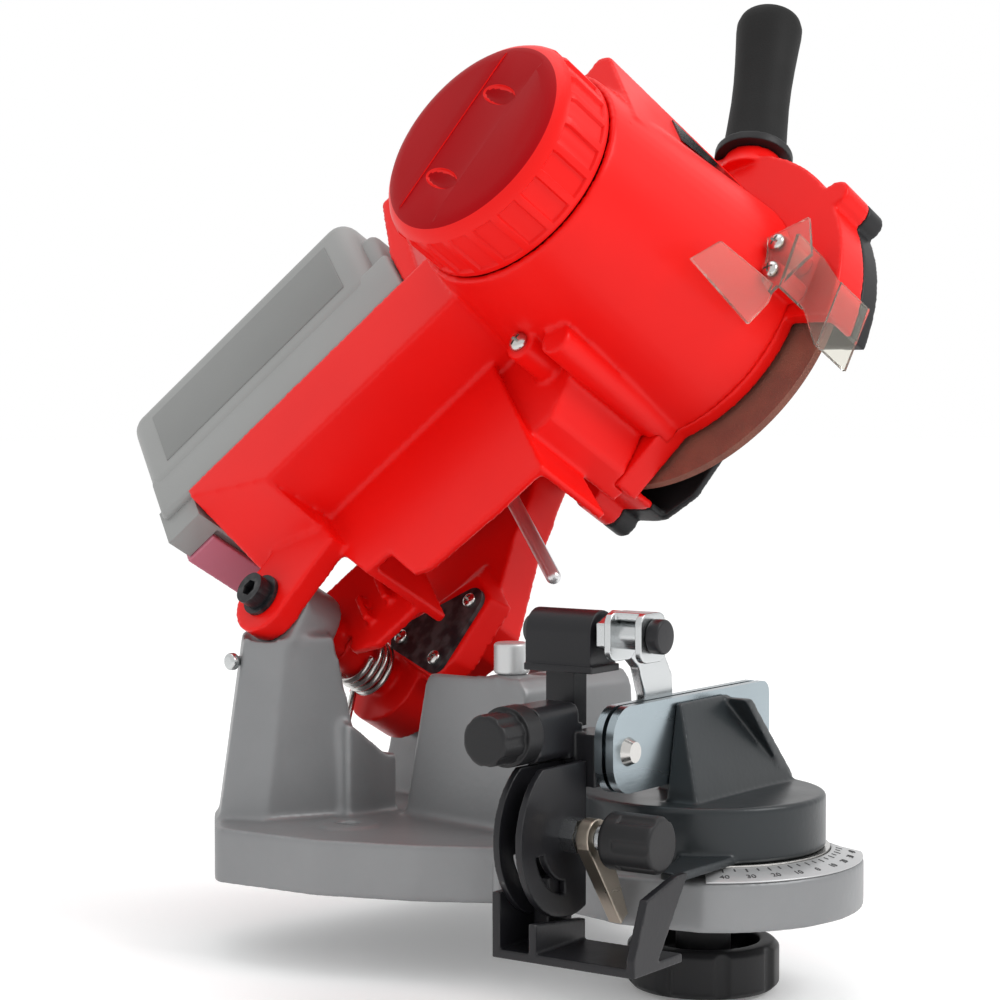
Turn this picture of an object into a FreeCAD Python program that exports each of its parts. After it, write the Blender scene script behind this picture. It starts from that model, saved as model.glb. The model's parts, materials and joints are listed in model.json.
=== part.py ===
import FreeCAD, Part

import math
import os

from FreeCAD import Matrix, Placement, Rotation, Vector

# Cordless chainsaw-chain sharpener, millimetres, +Z up, the user stands on the -Y side.
# The origin is the centre of the two bench-bolt holes, on the underside of the base.

# ---------------------------------------------------------------- driving dimensions
# clearances
FACE_GAP = 0.3            # between faces that pass each other
RUN_FIT = 0.05            # radial running fit of a pin in its bore
SLACK = 0.5               # around loose pieces inside a housing

# grinding wheel and its drive
WHEEL_R = 72.5
WHEEL_T = 3.2
WHEEL_BORE_R = 11.1
FLANGE_R = 20.0
FLANGE_T = 5.0
SHAFT_R = 4.0
NUT_AF = 13.0
NUT_H = 6.5

# swinging head: the hinge axis leans down to the right, across the user's view
AXIS_LEAN = 30.0          # degrees below the horizontal
ARM_P = 185.0             # hinge axis to wheel centre, along the head's long axis
ARM_DROP = 33.4515        # the hinge axis lies this far below that axis
RAISED = 61.4             # degrees of the arm above level, head up
HINGE_Y = 41.0
HINGE_Z = 69.1            # height of the hinge axis in the wheel's plane
HINGE_PIN_R = 5.0
HUB_R = 15.0

# motor barrel
BARREL_TOP_R = 47.0
BARREL_LOW_R = 58.0
BARREL_LOW = 10.0         # above the wheel's mid-plane
BARREL_TOP = 112.0
CAP_R = 45.0
CAP_H = 27.0
CAP_CHAMFER = 7.0
CAP_FLUTES = 24
WALL = 3.0
CAN_R = 33.0
CAN_H = 74.0
CAN_WALL = 2.5
CORE_R = 23.0

# wheel guard
GUARD_R = 79.0
GUARD_WALL = 3.0
GUARD_DEPTH = 12.0        # rim from the back plate past the wheel
BACKPLATE_T = 6.0
OPEN_FROM = -133.0        # degrees, free part of the wheel
OPEN_TO = -52.0
OUTER_GUARD_T = 3.0
OUTER_GUARD_H = 10.0
GUARD_BOSS_R = 6.0
GUARD_BOSS_ANGLES = (-8.0, 62.0, 128.0, 212.0)

# battery platform and battery pack
PLATFORM_W = 50.0
PLATFORM_SIDE = 100.0     # its outer side above the wheel's mid-plane
PLATFORM_TOP = 22.0
PACK_LEN = 141.0
PACK_W = 72.0
PACK_H = 72.0
PACK_WALL = 2.5
CELL_R = 9.2
CELL_LEN = 65.0
CELL_ROWS = 2
CELLS_IN_ROW = 5

# skirt and right arm of the head
SKIRT_SIDE = 68.0
SKIRT_FRONT = -84.0
LEG_T = 18.0
LEG_TOP = 4.0
COVER_T = 2.0

# auxiliary handle
HANDLE_R = 14.3
HANDLE_WAIST_R = 12.3
HANDLE_LEN = 81.0
HANDLE_ANGLE = 40.0
HANDLE_TILT = 56.0
HANDLE_STUD_R = 5.0

# depth stop
ROD_R = 3.0
ROD_SIDE = 10.5
ROD_P = -97.5
ROD_TIP_Q = -70.0
ROD_LEN = 106.0
ROD_KNOB_R = 8.0
ROD_KNOB_H = 12.0

# base casting
PLATE_T = 21.0
PLATE_WALL = 6.0
BENCH_HOLE_SPACING = 126.0
BENCH_HOLE_R = 4.5
BENCH_RING_R = 12.0
TONGUE_FROM = 46.0         # tower tongue along the hinge axis, from the wheel's plane
TONGUE_TO = 66.0
LUG_T = 20.0
BLOCK_TOP = 78.0
BLOCK_LEFT = -31.0
BLOCK_WIDTH = 58.0
BLOCK_WALL = 2.8
BLOCK_FRONT = -60.0
POST_R = 6.7
POST_H = 12.0
CHANNEL_STEP = 2.0        # degrees between the cuts that clear the depth-stop rod

# vise turntable and scale flange
FLANGE_PLATE_R = 57.5
FLANGE_TOP = 20.0
FLANGE_BOTTOM = 2.5
FLANGE_BOSS_H = 1.5
SCALE_HALF_ANGLE = 48.0
TURN_R = 44.0
TURN_BOTTOM = 23.5
TURN_TOP = 43.0
STUD_R = 5.0
VISE_REST_TURN = 12.0     # degrees, rails against +X as set
KNOB_R = 27.5
KNOB_TOP = -11.0
KNOB_H = 17.0
RAIL_TOP = 79.0
RAIL_H = 30.0
RAIL_T = 3.0
RAIL_LEFT = -67.0
RAIL_RIGHT = 42.0
CHAIN_SLOT = 1.6
WHEEL_OVER_RAIL = 1.5
STOP_U = -53.0
STOP_W = 103.0
STOP_BARREL_R = 8.0
STOP_BARREL_FROM = 9.5
STOP_BARREL_LEN = 27.0
STOP_PIN_R = 3.0
FEED_V = 20.0
FEED_W = 71.0
FEED_KNOB_R = 8.8
FEED_KNOB_AT = -109.0
CLAMP_U = -78.0
CLAMP_W = 37.0
CHEEK_R = 28.0
CHEEK_T = 2.5
FRONT_CHEEK_V = 7.0
REAR_CHEEK_V = 16.0
CLAMP_PIN_R = 3.0
CLAMP_KNOB_R = 9.7
CLAMP_KNOB_H = 20.0

# sizes that follow from those above, piece by piece
EAR_FROM = TONGUE_TO + FACE_GAP
TOWER_TOP = 92.0
EAR_T = 9.7
EAR_TO = EAR_FROM + EAR_T
LEG_BOTTOM = LEG_TOP - LEG_T
LUG_FROM = LEG_BOTTOM - FACE_GAP
HUB_CLEAR_R = 24.0
PLATE_FRONT = -76.0
PLATE_OUTLINE = [(-78, 66), (-104, 30), (-92, -16), (-72, -50), (-50, PLATE_FRONT),
                 (50, PLATE_FRONT), (72, -50), (92, -16), (104, 30), (78, 66)]
TOWER_PIN_R = 2.0
TOWER_PIN_Y = 45.0
TOWER_PIN_Z = 82.0
TOWER_PIN_HEAD = -82.5
TOWER_PIN_END = -68.0
SPRING_LEG_AT = (-178.5, -42.5)
SPRING_WIRE_R = 1.4
SPRING_R = 10.8
SPRING_TURNS = 3.5
SPRING_PITCH = 3.6
SPRING_FROM = 10.0
CLIP_FACE = 38.3
CLIP_RIB_FROM = 24.0
PEDESTAL_V = -17.0
JAW_GAP = CHAIN_SLOT / 2
FRONT_RAIL_V = -JAW_GAP - RAIL_T
REAR_RAIL_V = JAW_GAP
RAIL_PIN_R = 3.0
RAIL_PIN_U = -57.5
RAIL_PIN_W = RAIL_TOP - 15.5
PEDESTAL_BOLT_US = (-2.0, 24.0)
PEDESTAL_BOLT_V = -9.0
STRAP_U, STRAP_V = -71.0, -31.0
FEED_BLOCK_FACE = 12.0
ARM_V0 = REAR_RAIL_V + RAIL_T
ARM_T = 4.0
BRACKET_FRONT = -11.0
BRACKET_T = 2.5
FEED_SCREW_R = 3.0
FEED_BLOCK_U0, FEED_BLOCK_U1 = -88.0, -64.0
BRACKET_FLOOR = -2.0
STRAP_T = 3.0
LEVER_V = -5.0
RIB_P, RIB_Q, RIB_R = -28.5, -48.0, 6.5
PLATFORM_LOW = -12.0
SHELL_SCREWS = [(-41.0, -35.0, 80.0), (-14.0, 58.0, 34.0), (44.0, 40.0, 34.0)]
BEARING_R, REAR_BEARING_R, BEARING_T = 13.0, 11.0, 8.0
FRONT_BEARING_AT = 12.0
REAR_BEARING_AT = 124.0
GUARD_LOW = LEG_TOP + 2 - GUARD_DEPTH
GUARD_SCREW_SEAT = GUARD_LOW - 4.0
LIP_TOP = LEG_TOP + BACKPLATE_T + 6.0
COVER_FACE = LEG_TOP + 7.5
COVER_CORNER_R = 6.0
COVER_SCREWS = [(-166.4, -34.4), (-156.9, -57.8), (-132.4, -46.9)]
SHIELD_SCREWS = [(52.5, -31.5), (44.3, -41.0)]
SHIELD_Z = 26.0
SHIELD_LOW = LEG_TOP + BACKPLATE_T + FACE_GAP
SHIELD_T = 1.6
SWITCH_P0, SWITCH_P1 = 30.5, 47.5
SWITCH_S0, SWITCH_S1 = 40.0, 66.0
ROCKER_AXIS_Q = 34.0
AXLE_R = 1.5
CORE_FROM, CORE_TO = 34.0, 82.0
CAN_FROM = 26.0
SHAFT_TOP = REAR_BEARING_AT + BEARING_T
COMMUTATOR_R = 11.0
PACK_P0 = -206.0
PACK_Q0 = PLATFORM_TOP + FACE_GAP
PACK_S0 = PLATFORM_SIDE - PACK_W
HOOK_END = -188.0
HOOK_LOW = 10.0
KEY_S0, KEY_S1 = PACK_S0 + 16.4, PLATFORM_SIDE - 16.4
KEY_FIT = 0.4
KEY_TRAVEL = 2.5
KEY_PLATE_T = 3.0


# ---------------------------------------------------------------- frames worked out from them
LEAN = math.radians(AXIS_LEAN)
AXIS = Vector(-math.cos(LEAN), 0, math.sin(LEAN))     # up the hinge axis, towards the motor cap
FRONT = Vector(0, -1, 0)
RISE = Vector(math.sin(LEAN), 0, math.cos(LEAN))      # square to both
ARM = math.hypot(ARM_P, ARM_DROP)                     # hinge axis to wheel centre

# lowest point of the lowered wheel stands WHEEL_OVER_RAIL above the rails, on the vise axis
RIM_RISE = (RAIL_TOP + WHEEL_OVER_RAIL - HINGE_Z) / math.cos(LEAN)
LOWERED = math.degrees(math.asin((RIM_RISE + WHEEL_R) / ARM))
SWING = RAISED - LOWERED
HINGE_X = -RIM_RISE * math.sin(LEAN)
VISE_Y = HINGE_Y - ARM * math.cos(math.radians(LOWERED))
HINGE = Vector(HINGE_X, HINGE_Y, HINGE_Z)
HINGE_LOCAL = Vector(-ARM_P, -ARM_DROP, 0)


def head_placement(arm_angle):
    """Placement of the head frame (X along the head, Y up and back, Z to the motor cap)."""
    tilt = math.radians(arm_angle) - math.atan2(ARM_DROP, ARM_P)
    x_dir = FRONT * math.cos(tilt) + RISE * math.sin(tilt)
    y_dir = RISE * math.cos(tilt) - FRONT * math.sin(tilt)
    turn = Rotation(Matrix(x_dir.x, y_dir.x, AXIS.x, 0,
                           x_dir.y, y_dir.y, AXIS.y, 0,
                           x_dir.z, y_dir.z, AXIS.z, 0,
                           0, 0, 0, 1))
    return Placement(HINGE - turn.multVec(HINGE_LOCAL), turn)


HEAD = head_placement(RAISED)
HEAD_DOWN = head_placement(LOWERED)
HINGE_FRAME = Placement(HINGE, HEAD.Rotation)
VISE = Placement(Vector(0, VISE_Y, 0), Rotation(Vector(0, 0, 1), VISE_REST_TURN))


# ---------------------------------------------------------------- shape helpers
def box(x0, x1, y0, y1, z0, z1, radius=0.0, edges="Z"):
    """A block between two corners, its edges along one axis rounded."""
    solid = Part.makeBox(x1 - x0, y1 - y0, z1 - z0, Vector(x0, y0, z0))
    if radius:
        along = {"X": 0, "Y": 1, "Z": 2}
        picked = [e for e in solid.Edges
                  if any(abs(e.tangentAt(e.FirstParameter)[along[axis]]) > 0.99 for axis in edges)]
        solid = solid.makeFillet(radius, picked)
    return solid


def rod(radius, start, end):
    """A cylinder between two points."""
    start, end = Vector(*start), Vector(*end)
    return Part.makeCylinder(radius, (end - start).Length, start, end - start)


def cone(radius_start, radius_end, start, end):
    """A cone frustum between two points."""
    start, end = Vector(*start), Vector(*end)
    return Part.makeCone(radius_start, radius_end, (end - start).Length, start, end - start)


def tube(outer, inner, start, end):
    """A hollow cylinder between two points."""
    return rod(outer, start, end).cut(rod(inner, start, end))


def prism(points, z0, z1):
    """A polygon in XY drawn out along Z."""
    corners = [Vector(x, y, z0) for x, y in points]
    face = Part.Face(Part.makePolygon(corners + corners[:1]))
    return face.extrude(Vector(0, 0, z1 - z0))


def prism_y(points, y0, y1):
    """A polygon in XZ drawn out along Y."""
    corners = [Vector(x, y0, z) for x, z in points]
    face = Part.Face(Part.makePolygon(corners + corners[:1]))
    return face.extrude(Vector(0, y1 - y0, 0))


def sector(radius, z0, z1, start_deg, end_deg):
    """A pie slice about Z."""
    return Part.makeCylinder(radius, z1 - z0, Vector(0, 0, z0), Vector(0, 0, 1),
                             end_deg - start_deg).rotated(Vector(), Vector(0, 0, 1), start_deg)


def hexagon(across_flats, start, end):
    """A hexagonal bar between two points."""
    start, end = Vector(*start), Vector(*end)
    radius = across_flats / math.sqrt(3)
    corners = [Vector(radius * math.cos(math.radians(60 * i)), radius * math.sin(math.radians(60 * i)), 0)
               for i in range(7)]
    solid = Part.Face(Part.makePolygon(corners)).extrude(Vector(0, 0, (end - start).Length))
    return placed(solid, Placement(start, Rotation(Vector(0, 0, 1), end - start)))


def fuse(*solids):
    """All solids joined into one."""
    return solids[0].fuse(list(solids[1:])).removeSplitter()


def group(solids):
    """Separate solids kept in one shape."""
    return Part.makeCompound(list(solids))


def placed(shape, placement):
    """The shape carried into the row's frame."""
    moved = shape.copy()
    moved.Placement = placement.multiply(moved.Placement)
    return moved


def polar(radius, degrees):
    """A point of a circle in XY."""
    return radius * math.cos(math.radians(degrees)), radius * math.sin(math.radians(degrees))


def screw(head_r, head_h, shank_r, shank_len):
    """A screw whose head stands on Z=0, its shank below."""
    head = Part.makeCone(head_r, head_r * 0.72, head_h)
    return fuse(head, rod(shank_r, (0, 0, -shank_len), (0, 0, head_h / 2)))


def prism_x(points, x0, x1):
    """A polygon in YZ drawn out along X."""
    corners = [Vector(x0, y, z) for y, z in points]
    face = Part.Face(Part.makePolygon(corners + corners[:1]))
    return face.extrude(Vector(x1 - x0, 0, 0))


def rim_rounded(cylinder, radius):
    """A cylinder with both of its end edges rounded."""
    return cylinder.makeFillet(radius, [e for e in cylinder.Edges if e.Closed])


def loft(lower, z_low, upper, z_high):
    """A tapering block between two polygons."""
    wires = []
    for points, z in ((lower, z_low), (upper, z_high)):
        corners = [Vector(x, y, z) for x, y in points]
        wires.append(Part.makePolygon(corners + corners[:1]))
    return Part.makeLoft(wires, True, True)


def along_hinge(radius, side_from, side_to):
    """A cylinder about the hinge axis, in the row's frame."""
    return placed(rod(radius, (0, 0, side_from), (0, 0, side_to)), HINGE_FRAME)


def hinge_bore():
    """The bore for the hinge bolt, right through."""
    return along_hinge(HINGE_PIN_R + RUN_FIT, -2 * LUG_T - LEG_T, PLATFORM_SIDE)


# ---------------------------------------------------------------- base
def scale_corner(side):
    """A corner of the scale flange, side -1 left or +1 right."""
    x, y = polar(FLANGE_PLATE_R, -90 + side * SCALE_HALF_ANGLE)
    return x, y + VISE_Y


def rod_channel():
    """Room in the block's top for the depth-stop rod, down to where its tip lands with the head down."""
    tip, top = (ROD_P, ROD_TIP_Q - FACE_GAP, ROD_SIDE), (ROD_P, ROD_TIP_Q + 60, ROD_SIDE)
    return [placed(rod(ROD_R + 1, tip, top), head_placement(LOWERED + CHANNEL_STEP * step))
            for step in range(8)]


def base_plate():
    """The bench plate: a shell with a rim, bolt bosses and a lip for the bench edge."""
    plate = prism(PLATE_OUTLINE, 0, PLATE_T)
    plate = plate.makeFillet(8, [e for e in plate.Edges if e.BoundBox.ZLength > PLATE_T / 2])
    shrink = Matrix()
    shrink.scale(0.86, 0.86, 1)
    hollow = prism(PLATE_OUTLINE, -1, PLATE_T - PLATE_WALL).transformGeometry(shrink)
    solid = plate.cut(hollow)
    for side in (-1, 1):
        x = side * BENCH_HOLE_SPACING / 2
        solid = solid.fuse(rod(BENCH_RING_R + 2, (x, 0, 0), (x, 0, PLATE_T - 1)))
        solid = solid.fuse(rod(BENCH_RING_R, (x, 0, PLATE_T - 1), (x, 0, PLATE_T + 1.2)))
    lip = box(-58, 58, PLATE_FRONT - 4, PLATE_FRONT + 1, -6, FLANGE_TOP - 2)
    return solid.fuse(lip)


def scale_flange():
    """The platform in front of the bench that carries the vise and its angle scale."""
    left, right = scale_corner(-1), scale_corner(1)
    back, waist = PLATE_FRONT + 4, VISE_Y - 9
    web = prism([(-50, back), (-54, waist), left, right, (54, waist), (50, back)], FLANGE_BOTTOM, FLANGE_TOP)
    arc = sector(FLANGE_PLATE_R, FLANGE_BOTTOM, FLANGE_TOP,
                 -90 - SCALE_HALF_ANGLE, -90 + SCALE_HALF_ANGLE).translated(Vector(0, VISE_Y, 0))
    boss = rod(TURN_R - 2, (0, VISE_Y, FLANGE_BOTTOM), (0, VISE_Y, FLANGE_TOP + FLANGE_BOSS_H))
    return web.fuse([arc, boss])


def tower():
    """The left tower, whose top is the tongue between the head's ear and its body."""
    foot = [(-79, 62), (-91, 45), (-82, 28), (-39, 13), (-36, 62)]
    top = [(-69, 59), (-82, 40), (-72, 28), (-53, 20.5), (-49, 58)]
    body = loft(foot, PLATE_T - 1, top, TOWER_TOP)
    clear = HUB_R + 3
    body = body.cut([along_hinge(clear, TONGUE_TO, EAR_TO + 6), along_hinge(clear, 0, TONGUE_FROM)])
    neck = placed(box(-HUB_R, HUB_R, -HUB_R, 0, TONGUE_FROM, TONGUE_TO),
                  Placement(HINGE, Rotation(Matrix(FRONT.x, RISE.x, AXIS.x, 0, FRONT.y, RISE.y, AXIS.y, 0,
                                                   FRONT.z, RISE.z, AXIS.z, 0, 0, 0, 0, 1))))
    return body.fuse([along_hinge(HUB_R, TONGUE_FROM, TONGUE_TO), neck])


def saddle():
    """The low wall that joins the tower to the block, the bottom of the V."""
    outline = [(-52, PLATE_T - 1), (-52, 58), (-48, 56), (-32, 44), (-27, 44), (-27, PLATE_T - 1)]
    return prism_y(outline, 13, 24)


def block():
    """The block in front of the hinge, hollow where the head's right arm swings down."""
    right = BLOCK_LEFT + BLOCK_WIDTH
    profile = [(5, PLATE_T - 1), (-8, BLOCK_TOP - 3), (-11, BLOCK_TOP), (BLOCK_FRONT, BLOCK_TOP + 2),
               (BLOCK_FRONT - 4, BLOCK_TOP - 3), (BLOCK_FRONT - 10, PLATE_T - 1)]
    solid = prism_x(profile, BLOCK_LEFT, right)
    post_x, post_y, post_z = post_seat()
    solid = solid.fuse(rod(POST_R + 1.5, (post_x, post_y, BLOCK_TOP - 4), (post_x, post_y, post_z)))
    room = box(BLOCK_LEFT + BLOCK_WALL, right - BLOCK_WALL, BLOCK_FRONT + 16, 20, PLATE_T + 9, 120)
    return solid.cut(room)


def right_lug():
    """The lug behind the block that holds the hinge bolt's lower end."""
    lug = along_hinge(HUB_R, LUG_FROM - LUG_T, LUG_FROM)
    foot = loft([(2, 24), (34, 24), (34, 60), (2, 60)], PLATE_T - 1,
                [(8, 27), (26, 27), (26, 55), (8, 55)], 56)
    swept = along_hinge(HUB_CLEAR_R, LUG_FROM, TONGUE_FROM)
    nut_room = along_hinge(12, LUG_FROM - LUG_T - 14, LUG_FROM - LUG_T)
    return lug.fuse(foot).cut([swept, nut_room])


def post_seat():
    """Centre of the rest post on the block's top."""
    return -23.0, BLOCK_FRONT + 10.9, BLOCK_TOP + 2.3


def base_casting():
    solid = base_plate().fuse([scale_flange(), tower(), saddle(), block(), right_lug()])
    post_x, post_y, post_z = post_seat()
    for side in (-1, 1):
        x = side * BENCH_HOLE_SPACING / 2
        solid = solid.cut(rod(BENCH_HOLE_R, (x, 0, -1), (x, 0, PLATE_T + 3)))
    solid = solid.cut([hinge_bore()] + rod_channel())
    solid = solid.cut(rod(STUD_R + RUN_FIT, (0, VISE_Y, 0), (0, VISE_Y, FLANGE_TOP + 5)))
    solid = solid.cut(rod(2.5, (post_x, post_y, post_z - 6), (post_x, post_y, post_z + 5)))
    solid = solid.cut(rod(TOWER_PIN_R, (-90, TOWER_PIN_Y, TOWER_PIN_Z),
                          (TOWER_PIN_END, TOWER_PIN_Y, TOWER_PIN_Z)))
    solid = solid.cut(rod(TOWER_PIN_R * 1.7 + FACE_GAP, (-90, TOWER_PIN_Y, TOWER_PIN_Z),
                          (TOWER_PIN_HEAD, TOWER_PIN_Y, TOWER_PIN_Z)))
    return solid.removeSplitter()


def tower_pin():
    """Small round-headed pin in the tower's outer side."""
    head = rod(TOWER_PIN_R * 1.7, (TOWER_PIN_HEAD - 4, TOWER_PIN_Y, TOWER_PIN_Z),
               (TOWER_PIN_HEAD, TOWER_PIN_Y, TOWER_PIN_Z))
    return fuse(rim_rounded(head, 1.5), rod(TOWER_PIN_R, (TOWER_PIN_HEAD - 1, TOWER_PIN_Y, TOWER_PIN_Z),
                                            (TOWER_PIN_END, TOWER_PIN_Y, TOWER_PIN_Z)))


def rest_post():
    """Round-topped post screwed into the block."""
    x, y, z = post_seat()
    body = rim_rounded(rod(POST_R, (x, y, z), (x, y, z + POST_H)), 1.2)
    return fuse(body, rod(2.5, (x, y, z - 6), (x, y, z + 1)))


def hinge_bolt():
    """Bolt through ear, tongue, spring and right arm, with a washer-faced socket head."""
    face = EAR_TO + FACE_GAP
    shank = rod(HINGE_PIN_R, (0, 0, LUG_FROM - LUG_T - 10), (0, 0, face))
    washer = rod(8.5, (0, 0, face), (0, 0, face + 1.6))
    head = rod(6.5, (0, 0, face + 1.6), (0, 0, face + 7.5))
    socket = hexagon(6.0, (0, 0, face + 4), (0, 0, face + 9))
    return placed(fuse(shank, washer, head).cut(socket), HINGE_FRAME)


def hinge_nut():
    face = LUG_FROM - LUG_T
    nut = hexagon(16.0, (0, 0, face - 8), (0, 0, face))
    return placed(nut.cut(rod(HINGE_PIN_R, (0, 0, face - 9), (0, 0, face + 1))), HINGE_FRAME)


def spring_leg_line():
    """The two ends of the spring's upper leg on the head."""
    height = CLIP_FACE + SPRING_WIRE_R + 2 * FACE_GAP
    return Vector(*SPRING_LEG_AT, height), Vector(-147.5, -34.5, height)


def return_spring():
    """Torsion spring about the hinge bolt, one leg on the head and one down on the casting."""
    leg_x, leg_y = SPRING_LEG_AT[0] - HINGE_LOCAL.x, SPRING_LEG_AT[1] - HINGE_LOCAL.y
    end_angle = math.degrees(math.atan2(leg_y, leg_x))
    start_angle = end_angle - 360 * SPRING_TURNS
    height = SPRING_PITCH * SPRING_TURNS
    helix = Part.makeHelix(SPRING_PITCH, height, SPRING_R)
    ring = Part.Wire(Part.makeCircle(SPRING_WIRE_R, Vector(SPRING_R, 0, 0),
                                     Vector(0, 1, SPRING_PITCH / (2 * math.pi * SPRING_R))))
    coil = Part.Wire(helix).makePipeShell([ring], True, True)
    coil = coil.rotated(Vector(), Vector(0, 0, 1), start_angle).translated(Vector(0, 0, SPRING_FROM))
    end = Vector(*polar(SPRING_R, end_angle), SPRING_FROM + height)
    bend, hooked = (point - HINGE_LOCAL for point in spring_leg_line())
    start = Vector(*polar(SPRING_R, start_angle), SPRING_FROM)
    foot = HINGE_FRAME.inverse().multVec(Vector(-30, 44, 44))
    legs = [rod(SPRING_WIRE_R, end, bend), rod(SPRING_WIRE_R, bend, hooked), rod(SPRING_WIRE_R, start, foot)]
    knees = [Part.makeSphere(SPRING_WIRE_R, knee) for knee in (end, bend, start)]
    return placed(coil.fuse(legs + knees), HINGE_FRAME)


# ---------------------------------------------------------------- vise
def turntable_washer():
    """Bright thrust ring under the turntable, it turns just above the scale flange."""
    low = FLANGE_TOP + FLANGE_BOSS_H + FACE_GAP
    return tube(TURN_R + 1.5, STUD_R + 8, (0, VISE_Y, low), (0, VISE_Y, TURN_BOTTOM))


def vise_body():
    """Turntable with the wedge-shaped pedestal that carries the rails."""
    disc = rim_rounded(rod(TURN_R, (0, 0, TURN_BOTTOM), (0, 0, TURN_TOP)), 1.5)
    back = FRONT_RAIL_V
    wedge = loft([(-33, PEDESTAL_V), (41, PEDESTAL_V), (41, back), (-33, back)], TURN_TOP - 2,
                 [(-26, back - 2), (8, back - 2), (8, back), (-26, back)], RAIL_TOP - 2)
    rear = prism_y([(-10, TURN_TOP - 2), (-10, 62), (12, 70), (34, 52), (34, TURN_TOP - 2)],
                   REAR_RAIL_V + RAIL_T, REAR_RAIL_V + RAIL_T + 9)
    rib = prism_y([(4, RAIL_TOP - 3), (9, RAIL_TOP - 3), (41, TURN_TOP + 1), (34, TURN_TOP + 1)],
                  PEDESTAL_V + 2, back)
    arm = prism([(STRAP_U, STRAP_V), (STRAP_U + 9, STRAP_V), (-30, PEDESTAL_V - 14), (-30, PEDESTAL_V),
                 (-40, PEDESTAL_V + 3), (STRAP_U + 3, STRAP_V + 8)], TURN_BOTTOM, TURN_BOTTOM + 3)
    solid = disc.fuse([wedge, rear, rib, arm])
    solid = solid.cut(rod(STUD_R, (0, 0, TURN_BOTTOM - 1), (0, 0, TURN_TOP - 8)))
    for u in PEDESTAL_BOLT_US:
        solid = solid.cut(rod(2.5, (u, PEDESTAL_BOLT_V, TURN_TOP + 10), (u, 20, TURN_TOP + 10)))
    return placed(solid.removeSplitter(), VISE)


def rail_outline(v0):
    """A rail plate with a rounded free end."""
    bottom = RAIL_TOP - RAIL_H
    plate = box(RAIL_LEFT, RAIL_RIGHT, v0, v0 + RAIL_T, bottom, RAIL_TOP)
    plate = plate.makeFillet(11, [e for e in plate.Edges
                                  if e.BoundBox.YLength > RAIL_T / 2 and e.BoundBox.XMax < RAIL_LEFT + 1])
    plate = plate.makeFillet(5, [e for e in plate.Edges if e.BoundBox.YLength > RAIL_T / 2
                                 and e.BoundBox.XMin > RAIL_RIGHT - 1])
    holes = [rod(RAIL_PIN_R, (RAIL_PIN_U, v0 - 1, RAIL_PIN_W), (RAIL_PIN_U, v0 + RAIL_T + 1, RAIL_PIN_W))]
    holes += [rod(2.5, (u, v0 - 1, TURN_TOP + 10), (u, v0 + RAIL_T + 1, TURN_TOP + 10))
              for u in PEDESTAL_BOLT_US]
    return plate.cut(holes)


def front_rail():
    return placed(rail_outline(FRONT_RAIL_V), VISE)


def rear_rail():
    return placed(rail_outline(REAR_RAIL_V), VISE)


def rail_rivets():
    """Rivet at the rails' free end and the two bolts through the pedestal."""
    face = (RAIL_PIN_U, FRONT_RAIL_V, RAIL_PIN_W)
    rivet = fuse(rod(RAIL_PIN_R, face, (RAIL_PIN_U, FEED_BLOCK_FACE, RAIL_PIN_W)),
                 cone(5.0, 3.6, face, (RAIL_PIN_U, FRONT_RAIL_V - 3, RAIL_PIN_W)))
    solids = [rivet]
    for u in PEDESTAL_BOLT_US:
        solids.append(rod(2.5, (u, PEDESTAL_BOLT_V, TURN_TOP + 10),
                          (u, REAR_RAIL_V + RAIL_T + 9, TURN_TOP + 10)))
    return placed(group(solids), VISE)


def pivot_stud():
    """Threaded stud of the turntable, down through the flange."""
    return placed(rod(STUD_R, (0, 0, KNOB_TOP - KNOB_H + 3), (0, 0, TURN_TOP - 8)), VISE)


def clamp_knob():
    """Ring-shaped knob under the flange that locks the turntable."""
    ring = rod(KNOB_R, (0, 0, KNOB_TOP - KNOB_H), (0, 0, KNOB_TOP))
    ring = ring.makeChamfer(2.0, [e for e in ring.Edges if e.Closed])
    dish = rod(KNOB_R - 7, (0, 0, KNOB_TOP - 8), (0, 0, KNOB_TOP + 1))
    hub = rod(10.0, (0, 0, KNOB_TOP - KNOB_H + 2), (0, 0, FLANGE_BOTTOM - FACE_GAP))
    knob = ring.cut(dish).fuse(hub)
    for i in range(8):
        x, y = polar(KNOB_R + 2.5, 45 * i)
        knob = knob.cut(rod(4.0, (x, y, KNOB_TOP - KNOB_H - 1), (x, y, KNOB_TOP + 1)))
    bore = rod(STUD_R + RUN_FIT, (0, 0, KNOB_TOP - KNOB_H - 1), (0, 0, FLANGE_BOTTOM))
    return placed(knob.cut(bore), VISE)


def stop_arm():
    """Curved zinc arm behind the rails that holds the stop."""
    foot = RAIL_TOP - 23
    outline = [(STOP_U - 7, STOP_W - 4), (STOP_U - 7, STOP_W + 4), (STOP_U + 3, STOP_W + 8),
               (STOP_U + 17, STOP_W + 4), (STOP_U + 29, STOP_W - 5), (STOP_U + 37, STOP_W - 17),
               (STOP_U + 39, foot), (STOP_U + 19, foot), (STOP_U + 19, STOP_W - 23),
               (STOP_U + 15, STOP_W - 13), (STOP_U + 7, STOP_W - 7)]
    plate = prism_y(outline, ARM_V0, ARM_V0 + ARM_T)
    hole = rod(STOP_PIN_R, (STOP_U, ARM_V0 - 1, STOP_W), (STOP_U, ARM_V0 + ARM_T + 1, STOP_W))
    return placed(plate.cut(hole), VISE)


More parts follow.
